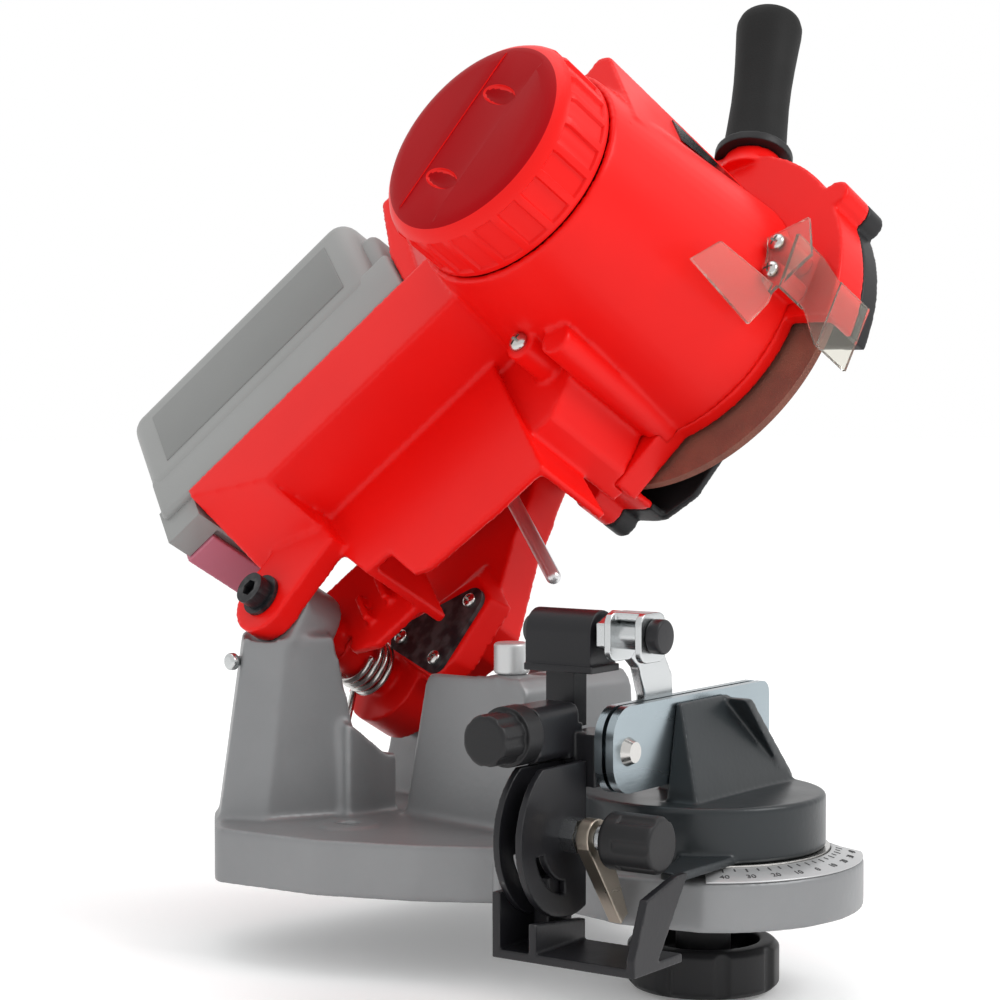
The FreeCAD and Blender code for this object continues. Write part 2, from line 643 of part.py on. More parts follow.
def stop_bracket():
    """Zinc U-bracket round the front half of the stop's pin."""
    u0, u1 = STOP_U - 8, STOP_U + 8
    side = box(u0, u1, BRACKET_FRONT, BRACKET_FRONT + BRACKET_T, STOP_W - 9, STOP_W + 8, 4, "Y")
    back = box(u0, u1, ARM_V0 - BRACKET_T, ARM_V0, STOP_W - 9, STOP_W + 8, 4, "Y")
    top = box(u0 + 3, u1 - 3, BRACKET_FRONT + 1, ARM_V0 - 1, STOP_W + 5.5, STOP_W + 8)
    hole = rod(STOP_PIN_R, (STOP_U, BRACKET_FRONT - 1, STOP_W), (STOP_U, ARM_V0 + 1, STOP_W))
    return placed(fuse(side, back, top).cut(hole), VISE)


def stop_pin():
    """The bolt on which the stop flips: black head in front, cap behind the stop."""
    end = STOP_BARREL_FROM + STOP_BARREL_LEN
    pin = rod(STOP_PIN_R, (STOP_U, BRACKET_FRONT, STOP_W), (STOP_U, end + 3, STOP_W))
    head = rim_rounded(rod(6.0, (STOP_U, BRACKET_FRONT - 5, STOP_W), (STOP_U, BRACKET_FRONT, STOP_W)), 1.0)
    cap = rod(5.0, (STOP_U, end + FACE_GAP, STOP_W), (STOP_U, end + 3, STOP_W))
    return placed(fuse(pin, head, cap), VISE)


def stop_sleeve():
    """Spacer on the stop's pin between the bracket's sides."""
    return placed(tube(5.0, STOP_PIN_R, (STOP_U, BRACKET_FRONT + BRACKET_T, STOP_W),
                       (STOP_U, ARM_V0 - BRACKET_T, STOP_W)), VISE)


def stop_pawl():
    """The chain stop: a hood on the pin, a plate under it and a leg down to the chain."""
    v0, v1 = STOP_BARREL_FROM, STOP_BARREL_FROM + STOP_BARREL_LEN
    barrel = rod(STOP_BARREL_R, (STOP_U, v0, STOP_W), (STOP_U, v1, STOP_W))
    neck = box(STOP_U - STOP_BARREL_R, STOP_U + STOP_BARREL_R, v0, v1, STOP_W - 11, STOP_W)
    reach = STOP_BARREL_R + 1
    plate = box(STOP_U - reach, STOP_U + reach, v0 - 1.2, v1, STOP_W - 13.5, STOP_W - 11)
    leg = box(STOP_U - 4, STOP_U + 4, v0 + 9, v0 + 21, FEED_W - 1, STOP_W - 13)
    bore = rod(STOP_PIN_R + RUN_FIT, (STOP_U, v0 - 1, STOP_W), (STOP_U, v1 + 1, STOP_W))
    return placed(fuse(barrel, neck, plate, leg).cut(bore), VISE)


def feed_block():
    """Black block on the rails' free end that carries the fine-feed screw and the cheeks."""
    body = box(FEED_BLOCK_U0, FEED_BLOCK_U1, FEED_BLOCK_FACE, 29, FEED_W - 10, FEED_W + 9, 4, "X")
    foot = box(RAIL_PIN_U - 9, RAIL_PIN_U + 9, ARM_V0, 18, RAIL_PIN_W - 12, RAIL_PIN_W + 6)
    neck = box(FEED_BLOCK_U1 - 6, RAIL_PIN_U - 4, FEED_BLOCK_FACE, 18, FEED_W - 10, FEED_W + 2)
    solid = fuse(body, foot, neck)
    screw_bore = rod(FEED_SCREW_R + RUN_FIT, (-100, FEED_V, FEED_W), (-50, FEED_V, FEED_W))
    pin = rod(RAIL_PIN_R, (RAIL_PIN_U, 0, RAIL_PIN_W), (RAIL_PIN_U, FEED_BLOCK_FACE, RAIL_PIN_W))
    return placed(solid.cut([screw_bore, pin]), VISE)


def feed_screw():
    """Fine-feed screw, from the knob through the block to behind the stop's leg."""
    return placed(rod(FEED_SCREW_R, (FEED_KNOB_AT + 4, FEED_V, FEED_W), (-58, FEED_V, FEED_W)), VISE)


def feed_knob():
    """Eight-lobed knob with a round skirt."""
    head = rod(FEED_KNOB_R, (FEED_KNOB_AT, FEED_V, FEED_W), (FEED_KNOB_AT + 13, FEED_V, FEED_W))
    head = rim_rounded(head, 1.5)
    skirt = rod(FEED_KNOB_R + 1.5, (FEED_KNOB_AT + 12, FEED_V, FEED_W),
                (FEED_BLOCK_U0 - 0.5, FEED_V, FEED_W))
    cuts = []
    for i in range(8):
        v, w = polar(FEED_KNOB_R + 3.2, 45 * i)
        cuts.append(rod(3.8, (FEED_KNOB_AT - 1, FEED_V + v, FEED_W + w),
                        (FEED_KNOB_AT + 12, FEED_V + v, FEED_W + w)))
    bore = rod(FEED_SCREW_R + RUN_FIT, (FEED_KNOB_AT + 4 - RUN_FIT, FEED_V, FEED_W), (-60, FEED_V, FEED_W))
    return placed(head.cut(cuts).fuse(skirt).cut(bore).removeSplitter(), VISE)


def cheek(v0):
    """A half-round cheek plate with its arc slot, flat under the feed block."""
    low, high = (CLAMP_U, v0 - 1, CLAMP_W), (CLAMP_U, v0 + CHEEK_T + 1, CLAMP_W)
    disc = rod(CHEEK_R, (CLAMP_U, v0, CLAMP_W), (CLAMP_U, v0 + CHEEK_T, CLAMP_W))
    keep = box(CLAMP_U - CHEEK_R - 1, CLAMP_U + 11, v0 - 1, v0 + CHEEK_T + 1, CLAMP_W - CHEEK_R - 1,
               FEED_W - 10 - FACE_GAP)
    slot = tube(20, 15.5, low, high).common(box(CLAMP_U - 24, CLAMP_U - 2, v0 - 1, v0 + CHEEK_T + 1,
                                                CLAMP_W - 30, CLAMP_W - 5))
    return disc.common(keep).cut([slot, rod(CLAMP_PIN_R + RUN_FIT, low, high)])


def front_cheek():
    return placed(cheek(FRONT_CHEEK_V), VISE)


def rear_cheek():
    return placed(cheek(REAR_CHEEK_V), VISE)


def lower_bracket():
    """Black bent bracket under the cheeks, tied to the turntable's arm by a strap."""
    left, right, rear_v = CLAMP_U - 24, CLAMP_U + 6, REAR_CHEEK_V + CHEEK_T
    floor = box(left, right, STRAP_V - STRAP_T, rear_v + 3, BRACKET_FLOOR, BRACKET_FLOOR + 3)
    rear = prism_y([(left, BRACKET_FLOOR), (left, 20), (CLAMP_U - 4, 20), (right, 8),
                    (right, BRACKET_FLOOR)],
                   rear_v, rear_v + 3)
    front = prism_y([(left, BRACKET_FLOOR), (left, 11), (right, 8), (right, BRACKET_FLOOR)],
                    FRONT_CHEEK_V - 3, FRONT_CHEEK_V)
    strap = prism_y([(left, BRACKET_FLOOR), (left, 4), (left + 8, 22), (STRAP_U - 4, 27), (STRAP_U + 3, 27),
                     (left + 13, BRACKET_FLOOR)], STRAP_V - STRAP_T, STRAP_V)
    between = box(CLAMP_U - 8, right, FRONT_CHEEK_V + CHEEK_T, REAR_CHEEK_V, BRACKET_FLOOR, CLAMP_W - 14)
    return placed(fuse(floor, rear, front, strap, between), VISE)


def clamp_bolt():
    """Bolt that squeezes the cheeks."""
    pin = rod(CLAMP_PIN_R, (CLAMP_U, -28, CLAMP_W), (CLAMP_U, REAR_CHEEK_V + CHEEK_T + 4, CLAMP_W))
    collar = rod(5.0, (CLAMP_U, -9, CLAMP_W), (CLAMP_U, -6.5, CLAMP_W))
    return placed(fuse(pin, collar), VISE)


def clamp_nut():
    """Zinc nut that draws the cheeks together."""
    face = FRONT_CHEEK_V
    nut = hexagon(11.0, (CLAMP_U, face - 5.5, CLAMP_W), (CLAMP_U, face, CLAMP_W))
    return placed(nut.cut(rod(CLAMP_PIN_R + RUN_FIT, (CLAMP_U, -20, CLAMP_W), (CLAMP_U, 20, CLAMP_W))), VISE)


def clamp_bolt_knob():
    """Lobed knob on the clamp bolt."""
    low = -30.0
    blank = rod(CLAMP_KNOB_R, (CLAMP_U, low, CLAMP_W), (CLAMP_U, low + CLAMP_KNOB_H, CLAMP_W))
    knob = rim_rounded(blank, 1.8)
    cuts = []
    for i in range(6):
        u, w = polar(CLAMP_KNOB_R + 3.2, 60 * i)
        cuts.append(rod(4.2, (CLAMP_U + u, low - 1, CLAMP_W + w), (CLAMP_U + u, low + 14, CLAMP_W + w)))
    bore = rod(CLAMP_PIN_R, (CLAMP_U, low + 2, CLAMP_W), (CLAMP_U, 0, CLAMP_W))
    return placed(knob.cut(cuts).cut(bore).removeSplitter(), VISE)


def chain_lever():
    """Tapered bright lever under the clamp bolt."""
    hub = tube(6.5, CLAMP_PIN_R + RUN_FIT, (CLAMP_U, LEVER_V, CLAMP_W), (CLAMP_U, LEVER_V + 5, CLAMP_W))
    outline = [(CLAMP_U - 6, CLAMP_W - 3), (CLAMP_U + 6, CLAMP_W - 1), (CLAMP_U + 19, 8.5),
               (CLAMP_U + 14.5, 5.5)]
    blade = prism_y(outline, LEVER_V, LEVER_V + 5)
    blade = blade.cut(rod(CLAMP_PIN_R + 1, (CLAMP_U, LEVER_V - 1, CLAMP_W), (CLAMP_U, LEVER_V + 6, CLAMP_W)))
    return placed(hub.fuse(blade).removeSplitter(), VISE)


# ---------------------------------------------------------------- head: shells
def ear_plate():
    """The outer ear on the hinge bolt and the gusset that ties it to the battery platform."""
    x, y = HINGE_LOCAL.x, HINGE_LOCAL.y
    disc = rod(HUB_R, (x, y, EAR_FROM), (x, y, EAR_TO))
    web = prism([(x - 12, y + 9), (x + 2, y + HUB_R), (-150, -8), (-147, -37), (x + 7, y - 13)],
                EAR_FROM, EAR_TO)
    gusset = loft([(x + 1, y + HUB_R), (-149, -33), (-149, PLATFORM_TOP), (x + 1, PLATFORM_TOP)], EAR_FROM,
                  [(-187, 17), (-152, PLATFORM_LOW), (-149, PLATFORM_TOP), (-187, PLATFORM_TOP)],
                  PLATFORM_SIDE)
    return disc.fuse([web, gusset])


def switch_box(low, high, inset=0.0):
    """The box beside the barrel that carries switch and label; inset makes its hollow."""
    return prism([(24, -8 + inset), (48.3 - inset, -10 + inset), (54.3 - inset, 33 - inset),
                  (51 - inset, 37 - inset), (24, 37 - inset)], low, high)


def housing_shoulder(low, high, inset=0.0):
    """The shell between skirt, barrel and rib; inset makes its hollow."""
    return prism([(-64 + inset, -10), (-61 + inset, -58 + inset), (-50, -58 + inset), (RIB_P - 3, RIB_Q + 3),
                  (-26, -10)], low, high)


def motor_housing():
    """Red main shell: motor barrel, switch box, battery platform, skirt and outer ear."""
    barrel = cone(BARREL_LOW_R, BARREL_TOP_R, (0, 0, BARREL_LOW), (0, 0, BARREL_TOP))
    deck = box(-152, -36, -8, PLATFORM_TOP, BARREL_LOW, PLATFORM_SIDE)
    platform = prism_x([(PLATFORM_LOW, PLATFORM_SIDE), (PLATFORM_TOP, PLATFORM_SIDE),
                        (PLATFORM_TOP, PLATFORM_SIDE - PLATFORM_W), (-16, PLATFORM_SIDE - PLATFORM_W),
                        (-16, SKIRT_SIDE)], -152, -38)
    stop_wall = prism([(-64.5, 10), (-58.5, 10), (-50, 79), (-57, 79), (-64.5, 46)], 42, PLATFORM_SIDE - 3)
    skirt = prism([(-151.6, -10), (-151.6, -35.2), (-149, -40.7), (-143.8, -56.9), (-131.6, -57.7),
                   (-126, -77.2), (-119.3, -81.6), (-83.4, SKIRT_FRONT), (-60.6, SKIRT_FRONT), (-58, -10)],
                  SKIRT_SIDE - WALL, SKIRT_SIDE)
    skirt_end = prism([(-63.6, -10), (-63.6, SKIRT_FRONT), (-60.6, SKIRT_FRONT), (-60.6, -10)], 30,
                      SKIRT_SIDE)
    clip_wall = prism([(-186, -10), (-194, -33), (-185, -44), (-166, -57), (-142, -57), (-140, -10)],
                      CLIP_FACE - 4, CLIP_FACE)
    x, y = HINGE_LOCAL.x, HINGE_LOCAL.y
    inner_ear = rod(HINGE_PIN_R + 4, (x, y, CLIP_FACE - 4), (x, y, TONGUE_FROM - FACE_GAP))
    clip_rib = box(-144, -140, -57, -10, CLIP_RIB_FROM, SKIRT_SIDE - 1)
    bend, hooked = spring_leg_line()
    along = hooked - bend
    channel = rod(SPRING_WIRE_R + FACE_GAP, bend - along, hooked + along)
    hooks = [box(-165, -162, -46, -32, CLIP_FACE - 1, CLIP_FACE + 5).cut(channel),
             box(-154, -151, -44, -30, CLIP_FACE - 1, CLIP_FACE + 5).cut(channel)]
    rib = rod(RIB_R, (RIB_P, RIB_Q, BARREL_LOW), (RIB_P, RIB_Q, 80))
    bosses = [rod(RIB_R, (px, py, BARREL_LOW), (px, py, top)) for px, py, top in SHELL_SCREWS]
    bosses += [rod(4.6, (px, py, BARREL_LOW), (px, py, SHIELD_Z - FACE_GAP)) for px, py in SHIELD_SCREWS]
    outer = barrel.fuse([switch_box(BARREL_LOW, 100), deck, platform, stop_wall, skirt, skirt_end, clip_wall,
                         inner_ear, clip_rib, housing_shoulder(BARREL_LOW, 62), rib, ear_plate()] + bosses)
    bore = cone(BARREL_LOW_R - WALL, BARREL_TOP_R - WALL, (0, 0, BARREL_LOW + WALL), (0, 0, BARREL_TOP + 1))
    deck_bore = box(-152 + WALL, -46, -8 + WALL, PLATFORM_TOP - WALL, BARREL_LOW + WALL,
                    PLATFORM_SIDE - WALL)
    hollows = [bore, deck_bore, switch_box(BARREL_LOW + WALL, 100 - WALL, WALL),
               housing_shoulder(BARREL_LOW - 1, 62 - WALL, WALL)]
    solid = outer.cut(hollows)
    seat = tube(BEARING_R + WALL, BEARING_R, (0, 0, BARREL_LOW), (0, 0, FRONT_BEARING_AT + BEARING_T))
    guide = tube(ROD_R + WALL, ROD_R + RUN_FIT, (ROD_P, -8, ROD_SIDE), (ROD_P, PLATFORM_TOP, ROD_SIDE))
    solid = solid.fuse([seat, guide] + bosses)
    holes = [rod(BEARING_R - 3, (0, 0, BARREL_LOW - 1), (0, 0, BARREL_LOW + 4)),
             rod(BEARING_R, (0, 0, FRONT_BEARING_AT), (0, 0, FRONT_BEARING_AT + BEARING_T + 1)),
             rod(HINGE_PIN_R + RUN_FIT, (x, y, 20), (x, y, 110)),
             box(-200, x - 3, y - 18, y - 3, CLIP_FACE - 5, CLIP_FACE + 1),
             rod(3.2, (*SPRING_LEG_AT, CLIP_FACE - 5), (*SPRING_LEG_AT, TONGUE_FROM)),
             box(x - 4, SPRING_LEG_AT[0] + 1, -60, SPRING_LEG_AT[1], CLIP_FACE - 5, CLIP_FACE + 1),
             rod(ROD_R + RUN_FIT, (ROD_P, -20, ROD_SIDE), (ROD_P, 40, ROD_SIDE)),
             box(SWITCH_P0, SWITCH_P1, 30, 46, SWITCH_S0, SWITCH_S1),
             prism(lip_points(), BARREL_LOW - 1, LIP_TOP + FACE_GAP)]
    for px, py, top in SHELL_SCREWS:
        holes.append(rod(1.9, (px, py, BARREL_LOW - 1), (px, py, top + 1)))
        holes.append(rod(4.3, (px, py, top), (px, py, PLATFORM_SIDE + 1)))
    holes += [rod(1.7, (px, py, SHIELD_Z - 9), (px, py, SHIELD_Z)) for px, py in SHIELD_SCREWS]
    return placed(solid.cut(holes).fuse(hooks).removeSplitter(), HEAD)


def power_switch_frame():
    """Switch body in the top of the switch box."""
    body = box(SWITCH_P0 + 0.2, SWITCH_P1 - 0.2, 22, 38.2, SWITCH_S0 + 0.2, SWITCH_S1 - 0.2)
    well = box(SWITCH_P0 + 2, SWITCH_P1 - 2, 27, 39, SWITCH_S0 + 2, SWITCH_S1 - 2)
    middle = (SWITCH_S0 + SWITCH_S1) / 2
    sockets = rod(AXLE_R + RUN_FIT, (SWITCH_P0 + 0.8, ROCKER_AXIS_Q, middle),
                  (SWITCH_P1 - 0.8, ROCKER_AXIS_Q, middle))
    return placed(body.cut([well, sockets]), HEAD)


def switch_rocker():
    """Rocker key; it tilts about an axis along the head."""
    middle = (SWITCH_S0 + SWITCH_S1) / 2
    key = prism_x([(35.0, SWITCH_S0 + 4), (39.7, SWITCH_S0 + 4), (37.6, middle), (38.8, SWITCH_S1 - 4),
                   (34.0, SWITCH_S1 - 4), (31.5, middle)], SWITCH_P0 + 2.4, SWITCH_P1 - 2.4)
    axle = rod(AXLE_R, (SWITCH_P0 + 1, ROCKER_AXIS_Q, middle), (SWITCH_P1 - 1, ROCKER_AXIS_Q, middle))
    return placed(key.fuse(axle).removeSplitter(), HEAD)


def motor_end_cap():
    """Fluted cap over the motor's rear end, with the rear bearing's seat."""
    top = BARREL_TOP + CAP_H
    skirt = rod(CAP_R, (0, 0, BARREL_TOP), (0, 0, top - CAP_CHAMFER))
    crown = cone(CAP_R, CAP_R - CAP_CHAMFER, (0, 0, top - CAP_CHAMFER), (0, 0, top))
    outer = skirt.fuse(crown)
    hollow = rod(CAP_R - WALL - 3, (0, 0, BARREL_TOP - 1), (0, 0, top - 3 * WALL))
    flutes = []
    for i in range(CAP_FLUTES):
        x, y = polar(CAP_R + 0.7, 360 / CAP_FLUTES * i)
        flutes.append(rod(1.7, (x, y, BARREL_TOP + 2), (x, y, top - 4)))
    seat = tube(REAR_BEARING_R + WALL, REAR_BEARING_R, (0, 0, REAR_BEARING_AT), (0, 0, top - 2 * WALL))
    bearing_room = rod(REAR_BEARING_R, (0, 0, REAR_BEARING_AT), (0, 0, SHAFT_TOP + FACE_GAP))
    slots = [sector(30, top - 4 * WALL, top + 1, a, a + 14).cut(rod(26, (0, 0, 0), (0, 0, 200)))
             for a in (60, 240)]
    spigot = tube(BARREL_TOP_R - WALL - FACE_GAP, BARREL_TOP_R - 2 * WALL - FACE_GAP,
                  (0, 0, BARREL_TOP - 4), (0, 0, BARREL_TOP + 1))
    cap = outer.cut([hollow] + flutes + slots).fuse([seat, spigot]).cut(bearing_room)
    return placed(cap.removeSplitter(), HEAD)


def guard_sector(radius, z0, z1):
    """The covered part of the guard's circle."""
    return sector(radius, z0, z1, OPEN_TO, 360 + OPEN_FROM)


def lip_points():
    """Outline of the lip along the guard's straight free edge."""
    return [(-21, -52), (-25, -38), (-61, -45), (-55, -59)]


def guard_housing():
    """Red inner guard with its rim, and the right arm down to the hinge."""
    back = LEG_TOP + BACKPLATE_T
    disc = rod(BARREL_LOW_R, (0, 0, LEG_TOP), (0, 0, back)).fuse(guard_sector(GUARD_R, LEG_TOP, back))
    rim = guard_sector(GUARD_R, GUARD_LOW, back)
    rim = rim.cut(rod(GUARD_R - GUARD_WALL, (0, 0, GUARD_LOW - 1), (0, 0, back + 1)))
    x, y = HINGE_LOCAL.x, HINGE_LOCAL.y
    hub = rod(HUB_R + 5, (x, y, LEG_BOTTOM), (x, y, LEG_TOP))
    sleeve = rod(SPRING_R - SPRING_WIRE_R - 1, (x, y, LEG_TOP - 1), (x, y, CLIP_FACE - 4 - FACE_GAP))
    leg = prism([(-188, -13), (-120, 10), (-76, 28), (-70, 5), (-89.5, -9.3), (-96.8, -16.6), (-108, -25.1),
                 (-119.9, -39.3), (-131.6, -53.4), (-145.5, -57), (-168, -54)], LEG_BOTTOM, LEG_TOP)
    wheel_room = rod(GUARD_R - GUARD_WALL, (0, 0, LEG_BOTTOM - 1), (0, 0, LEG_TOP))
    guard_room = rod(GUARD_R + FACE_GAP, (0, 0, LEG_BOTTOM - 1), (0, 0, GUARD_LOW))
    pad = loft([(-171.4, -24), (-171.4, -44), (-160, -68), (-148, -68), (-122, -56), (-122, -24)],
               LEG_TOP - 1,
               [(-171.4, -26), (-171.4, -39), (-162, -64), (-151, -64), (-125, -52), (-125, -36)], COVER_FACE)
    bosses = []
    for angle in GUARD_BOSS_ANGLES:
        bx, by = polar(GUARD_R + 2, angle)
        bosses.append(rod(GUARD_BOSS_R, (bx, by, GUARD_LOW), (bx, by, back)))
    lip = prism(lip_points(), LEG_TOP, LIP_TOP)
    handle_seat = cone(15, 12, handle_point(-8), handle_point(2))
    arm = hub.fuse(leg).cut(wheel_room.fuse(guard_room))
    solid = disc.fuse([rim, arm, sleeve, pad, lip, handle_seat] + bosses)
    holes = [rod(GUARD_R - GUARD_WALL, (0, 0, GUARD_LOW - 5), (0, 0, LEG_TOP)),
             rod(FLANGE_R + 2, (0, 0, 0), (0, 0, 20)),
             rod(HINGE_PIN_R + RUN_FIT, (x, y, LEG_BOTTOM - 1), (x, y, CLIP_FACE)),
             rod(HANDLE_STUD_R, handle_point(-12), handle_point(20))]
    holes += [rod(1.9, (px, py, LEG_TOP - 1), (px, py, back + 1)) for px, py, top in SHELL_SCREWS]
    holes += [rod(1.5, (px, py, COVER_FACE - 9), (px, py, COVER_FACE + 1)) for px, py in COVER_SCREWS]
    for angle in GUARD_BOSS_ANGLES:
        bx, by = polar(GUARD_R + 2, angle)
        holes.append(rod(1.7, (bx, by, GUARD_LOW - 1), (bx, by, back - 3)))
    return placed(solid.cut(holes).removeSplitter(), HEAD)


def outer_guard():
    """Black dished outer guard on the far side of the wheel."""
    low = GUARD_LOW - OUTER_GUARD_H
    inner_r = GUARD_R - OUTER_GUARD_T
    corner = [(-20, -20), (-62, -40), (-53.5, -58), (-38, -60.4), (-18, -53), (-8, -30)]
    plate = guard_sector(GUARD_R, low, GUARD_LOW).fuse(prism(corner, low, low + OUTER_GUARD_T))
    dish = rod(inner_r, (0, 0, low + OUTER_GUARD_T), (0, 0, GUARD_LOW + 1))
    bosses, holes = [], [dish, rod(19, handle_point(-12), handle_point(16))]
    for angle in GUARD_BOSS_ANGLES:
        bx, by = polar(GUARD_R + 2, angle)
        bosses.append(rod(GUARD_BOSS_R, (bx, by, low), (bx, by, GUARD_LOW)).cut(dish))
        holes.append(rod(1.7, (bx, by, low - 1), (bx, by, GUARD_LOW + 1)))
        holes.append(rod(3.6, (bx, by, low - 1), (bx, by, GUARD_SCREW_SEAT)))
    return placed(plate.fuse(bosses).cut(holes).removeSplitter(), HEAD)


def guard_screws():
    """Screws of the outer guard, up into the inner guard's bosses."""
    solids = []
    for angle in GUARD_BOSS_ANGLES:
        bx, by = polar(GUARD_R + 2, angle)
        one = screw(3.3, 2.5, 1.7, 12)
        turned = Placement(Vector(bx, by, GUARD_SCREW_SEAT), Rotation(Vector(1, 0, 0), 180))
        solids.append(placed(one, turned))
    return placed(group(solids), HEAD)


def shell_screws():
    """Screws that hold the guard housing on the motor housing."""
    solids = [placed(screw(4.0, 3.0, 1.9, top - LEG_TOP - 1), Placement(Vector(x, y, top), Rotation()))
              for x, y, top in SHELL_SCREWS]
    return placed(group(solids), HEAD)


def label_plate():
    """Thin plate on the slanted front of the switch box."""
    thick = 0.8
    face = prism([(48.3, -10), (53.3, 27), (53.3 + thick, 27), (48.3 + thick, -10)], 16, 62)
    barrel = cone(BARREL_LOW_R + 1, BARREL_TOP_R + 1, (0, 0, BARREL_LOW), (0, 0, BARREL_TOP))
    return placed(face.cut([switch_box(BARREL_LOW, 100), barrel]), HEAD)


def pivot_cover():
    """Black three-cornered cover over the arm's pad."""
    discs = [rod(COVER_CORNER_R, (x, y, COVER_FACE), (x, y, COVER_FACE + COVER_T)) for x, y in COVER_SCREWS]
    centre = Vector(sum(x for x, y in COVER_SCREWS) / 3, sum(y for x, y in COVER_SCREWS) / 3, 0)
    outline = []
    for i, (x, y) in enumerate(COVER_SCREWS):
        nx, ny = COVER_SCREWS[(i + 1) % 3]
        side = Vector(nx - x, ny - y, 0).normalize()
        out = Vector(side.y, -side.x, 0)
        if out.dot(Vector(x, y, 0) - centre) < 0:
            out = -out
        outline += [(x + out.x * COVER_CORNER_R, y + out.y * COVER_CORNER_R),
                    (nx + out.x * COVER_CORNER_R, ny + out.y * COVER_CORNER_R)]
    plate = prism(outline, COVER_FACE, COVER_FACE + COVER_T).fuse(discs)
    holes = [rod(1.5, (x, y, COVER_FACE - 1), (x, y, COVER_FACE + 5)) for x, y in COVER_SCREWS]
    return placed(plate.cut(holes).removeSplitter(), HEAD)


def pivot_cover_screws():
    solids = [placed(screw(3.2, 2.2, 1.5, 9), Placement(Vector(x, y, COVER_FACE + COVER_T), Rotation()))
              for x, y in COVER_SCREWS]
    return placed(group(solids), HEAD)


def upright(x0, y0, x1, y1, outline):
    """A clear panel parallel to the wheel's axis; outline gives (run, height) points along it."""
    run = Vector(x1 - x0, y1 - y0, 0).normalize()
    corners = [Vector(x0, y0, 0) + run * t + Vector(0, 0, z) for t, z in outline]
    face = Part.Face(Part.makePolygon(corners + corners[:1]))
    return face.extrude(Vector(run.y, -run.x, 0) * SHIELD_T)


def spark_shield():
    """Clear folded shield round the guard's upper free edge."""
    ledge = prism([(49, -24), (68, -33), (60, -50), (38, -50), (39, -40)], SHIELD_Z, SHIELD_Z + SHIELD_T)
    riser = upright(61.3, -35.5, 43.3, -51.5, [(0, SHIELD_LOW), (24, SHIELD_LOW), (24, SHIELD_Z + SHIELD_T),
                                       (0, SHIELD_Z + SHIELD_T)])
    foot = prism([(43.3, -51.5), (61.3, -35.5), (60, -54.5), (38, -71.5)], SHIELD_LOW, SHIELD_LOW + SHIELD_T)
    front = upright(38, -71.5, 60, -54.5, [(0, -8), (27.5, -8), (27.5, SHIELD_LOW + SHIELD_T),
                                           (0, SHIELD_LOW + SHIELD_T)])
    wing = upright(42, -48, 26, -60, [(0, SHIELD_Z), (2, 60), (16, 70), (20, 31), (8, SHIELD_Z)])
    barrel = cone(BARREL_LOW_R + 0.5, BARREL_TOP_R + 0.5, (0, 0, BARREL_LOW), (0, 0, BARREL_TOP))
    holes = [rod(1.7, (x, y, SHIELD_Z - 1), (x, y, SHIELD_Z + 4)) for x, y in SHIELD_SCREWS]
    shield = fuse(ledge, riser, foot, front, wing)
    guard = guard_sector(GUARD_R + FACE_GAP, GUARD_LOW - 5, SHIELD_LOW)
    return placed(shield.cut([barrel, guard] + holes), HEAD)


def shield_screws():
    """Screws of the spark shield."""
    solids = [placed(screw(3.6, 2.4, 1.7, 8), Placement(Vector(x, y, SHIELD_Z + SHIELD_T), Rotation()))
              for x, y in SHIELD_SCREWS]
    return placed(group(solids), HEAD)


# ---------------------------------------------------------------- head: handle and depth stop
def handle_point(along):
    """A point on the handle's axis, measured from its seat on the guard."""
    x, y = polar(GUARD_R + 1, HANDLE_ANGLE)
    dx, dy = polar(along, HANDLE_TILT)
    return x + dx, y + dy, 0


def handle_core():
    """Moulded core with a collar and a threaded stud into the guard."""
    stud = rod(HANDLE_STUD_R, handle_point(-6), handle_point(4))
    collar = rod(HANDLE_R + 2, handle_point(2), handle_point(6))
    core = rod(9.0, handle_point(5), handle_point(HANDLE_LEN - 8))
    return placed(fuse(stud, collar, core), HEAD)


def handle_grip():
    """Rubber grip, waisted in the middle."""
    low, waist, high = 6.0, 42.0, HANDLE_LEN - 8.0
    lower = cone(HANDLE_R - 1.5, HANDLE_WAIST_R, handle_point(low), handle_point(waist))
    upper = cone(HANDLE_WAIST_R, HANDLE_R, handle_point(waist), handle_point(high))
    cap = cone(HANDLE_R, HANDLE_R - 4, handle_point(high), handle_point(HANDLE_LEN))
    bore = rod(9.0, handle_point(0), handle_point(HANDLE_LEN - 8))
    return placed(fuse(lower, upper, cap).cut(bore), HEAD)


def depth_rod():
    """Chrome depth-stop screw with a round tip."""
    tip = Vector(ROD_P, ROD_TIP_Q + ROD_R, ROD_SIDE)
    shank = rod(ROD_R, tip, (ROD_P, ROD_TIP_Q + ROD_LEN, ROD_SIDE))
    return placed(fuse(shank, Part.makeSphere(ROD_R, tip)), HEAD)


def depth_knob():
    """Knurled knob on the depth-stop screw."""
    low = PLATFORM_TOP + 4
    knob = rim_rounded(rod(ROD_KNOB_R, (ROD_P, low, ROD_SIDE), (ROD_P, low + ROD_KNOB_H, ROD_SIDE)), 1.2)
    bore = rod(ROD_R + RUN_FIT, (ROD_P, low - 1, ROD_SIDE), (ROD_P, low + 20, ROD_SIDE))
    return placed(knob.cut(bore), HEAD)


# ---------------------------------------------------------------- head: drive
def grinding_wheel():
    return placed(tube(WHEEL_R, WHEEL_BORE_R, (0, 0, -WHEEL_T / 2), (0, 0, WHEEL_T / 2)), HEAD)


def inner_flange():
    """Flange between shaft and wheel, with the spigot that centres the wheel."""
    face = WHEEL_T / 2
    disc = rod(FLANGE_R, (0, 0, face), (0, 0, face + FLANGE_T))
    spigot = rod(WHEEL_BORE_R - RUN_FIT, (0, 0, -face + 0.2), (0, 0, face + 1))
    return placed(fuse(disc, spigot).cut(rod(SHAFT_R, (0, 0, -9), (0, 0, 20))), HEAD)


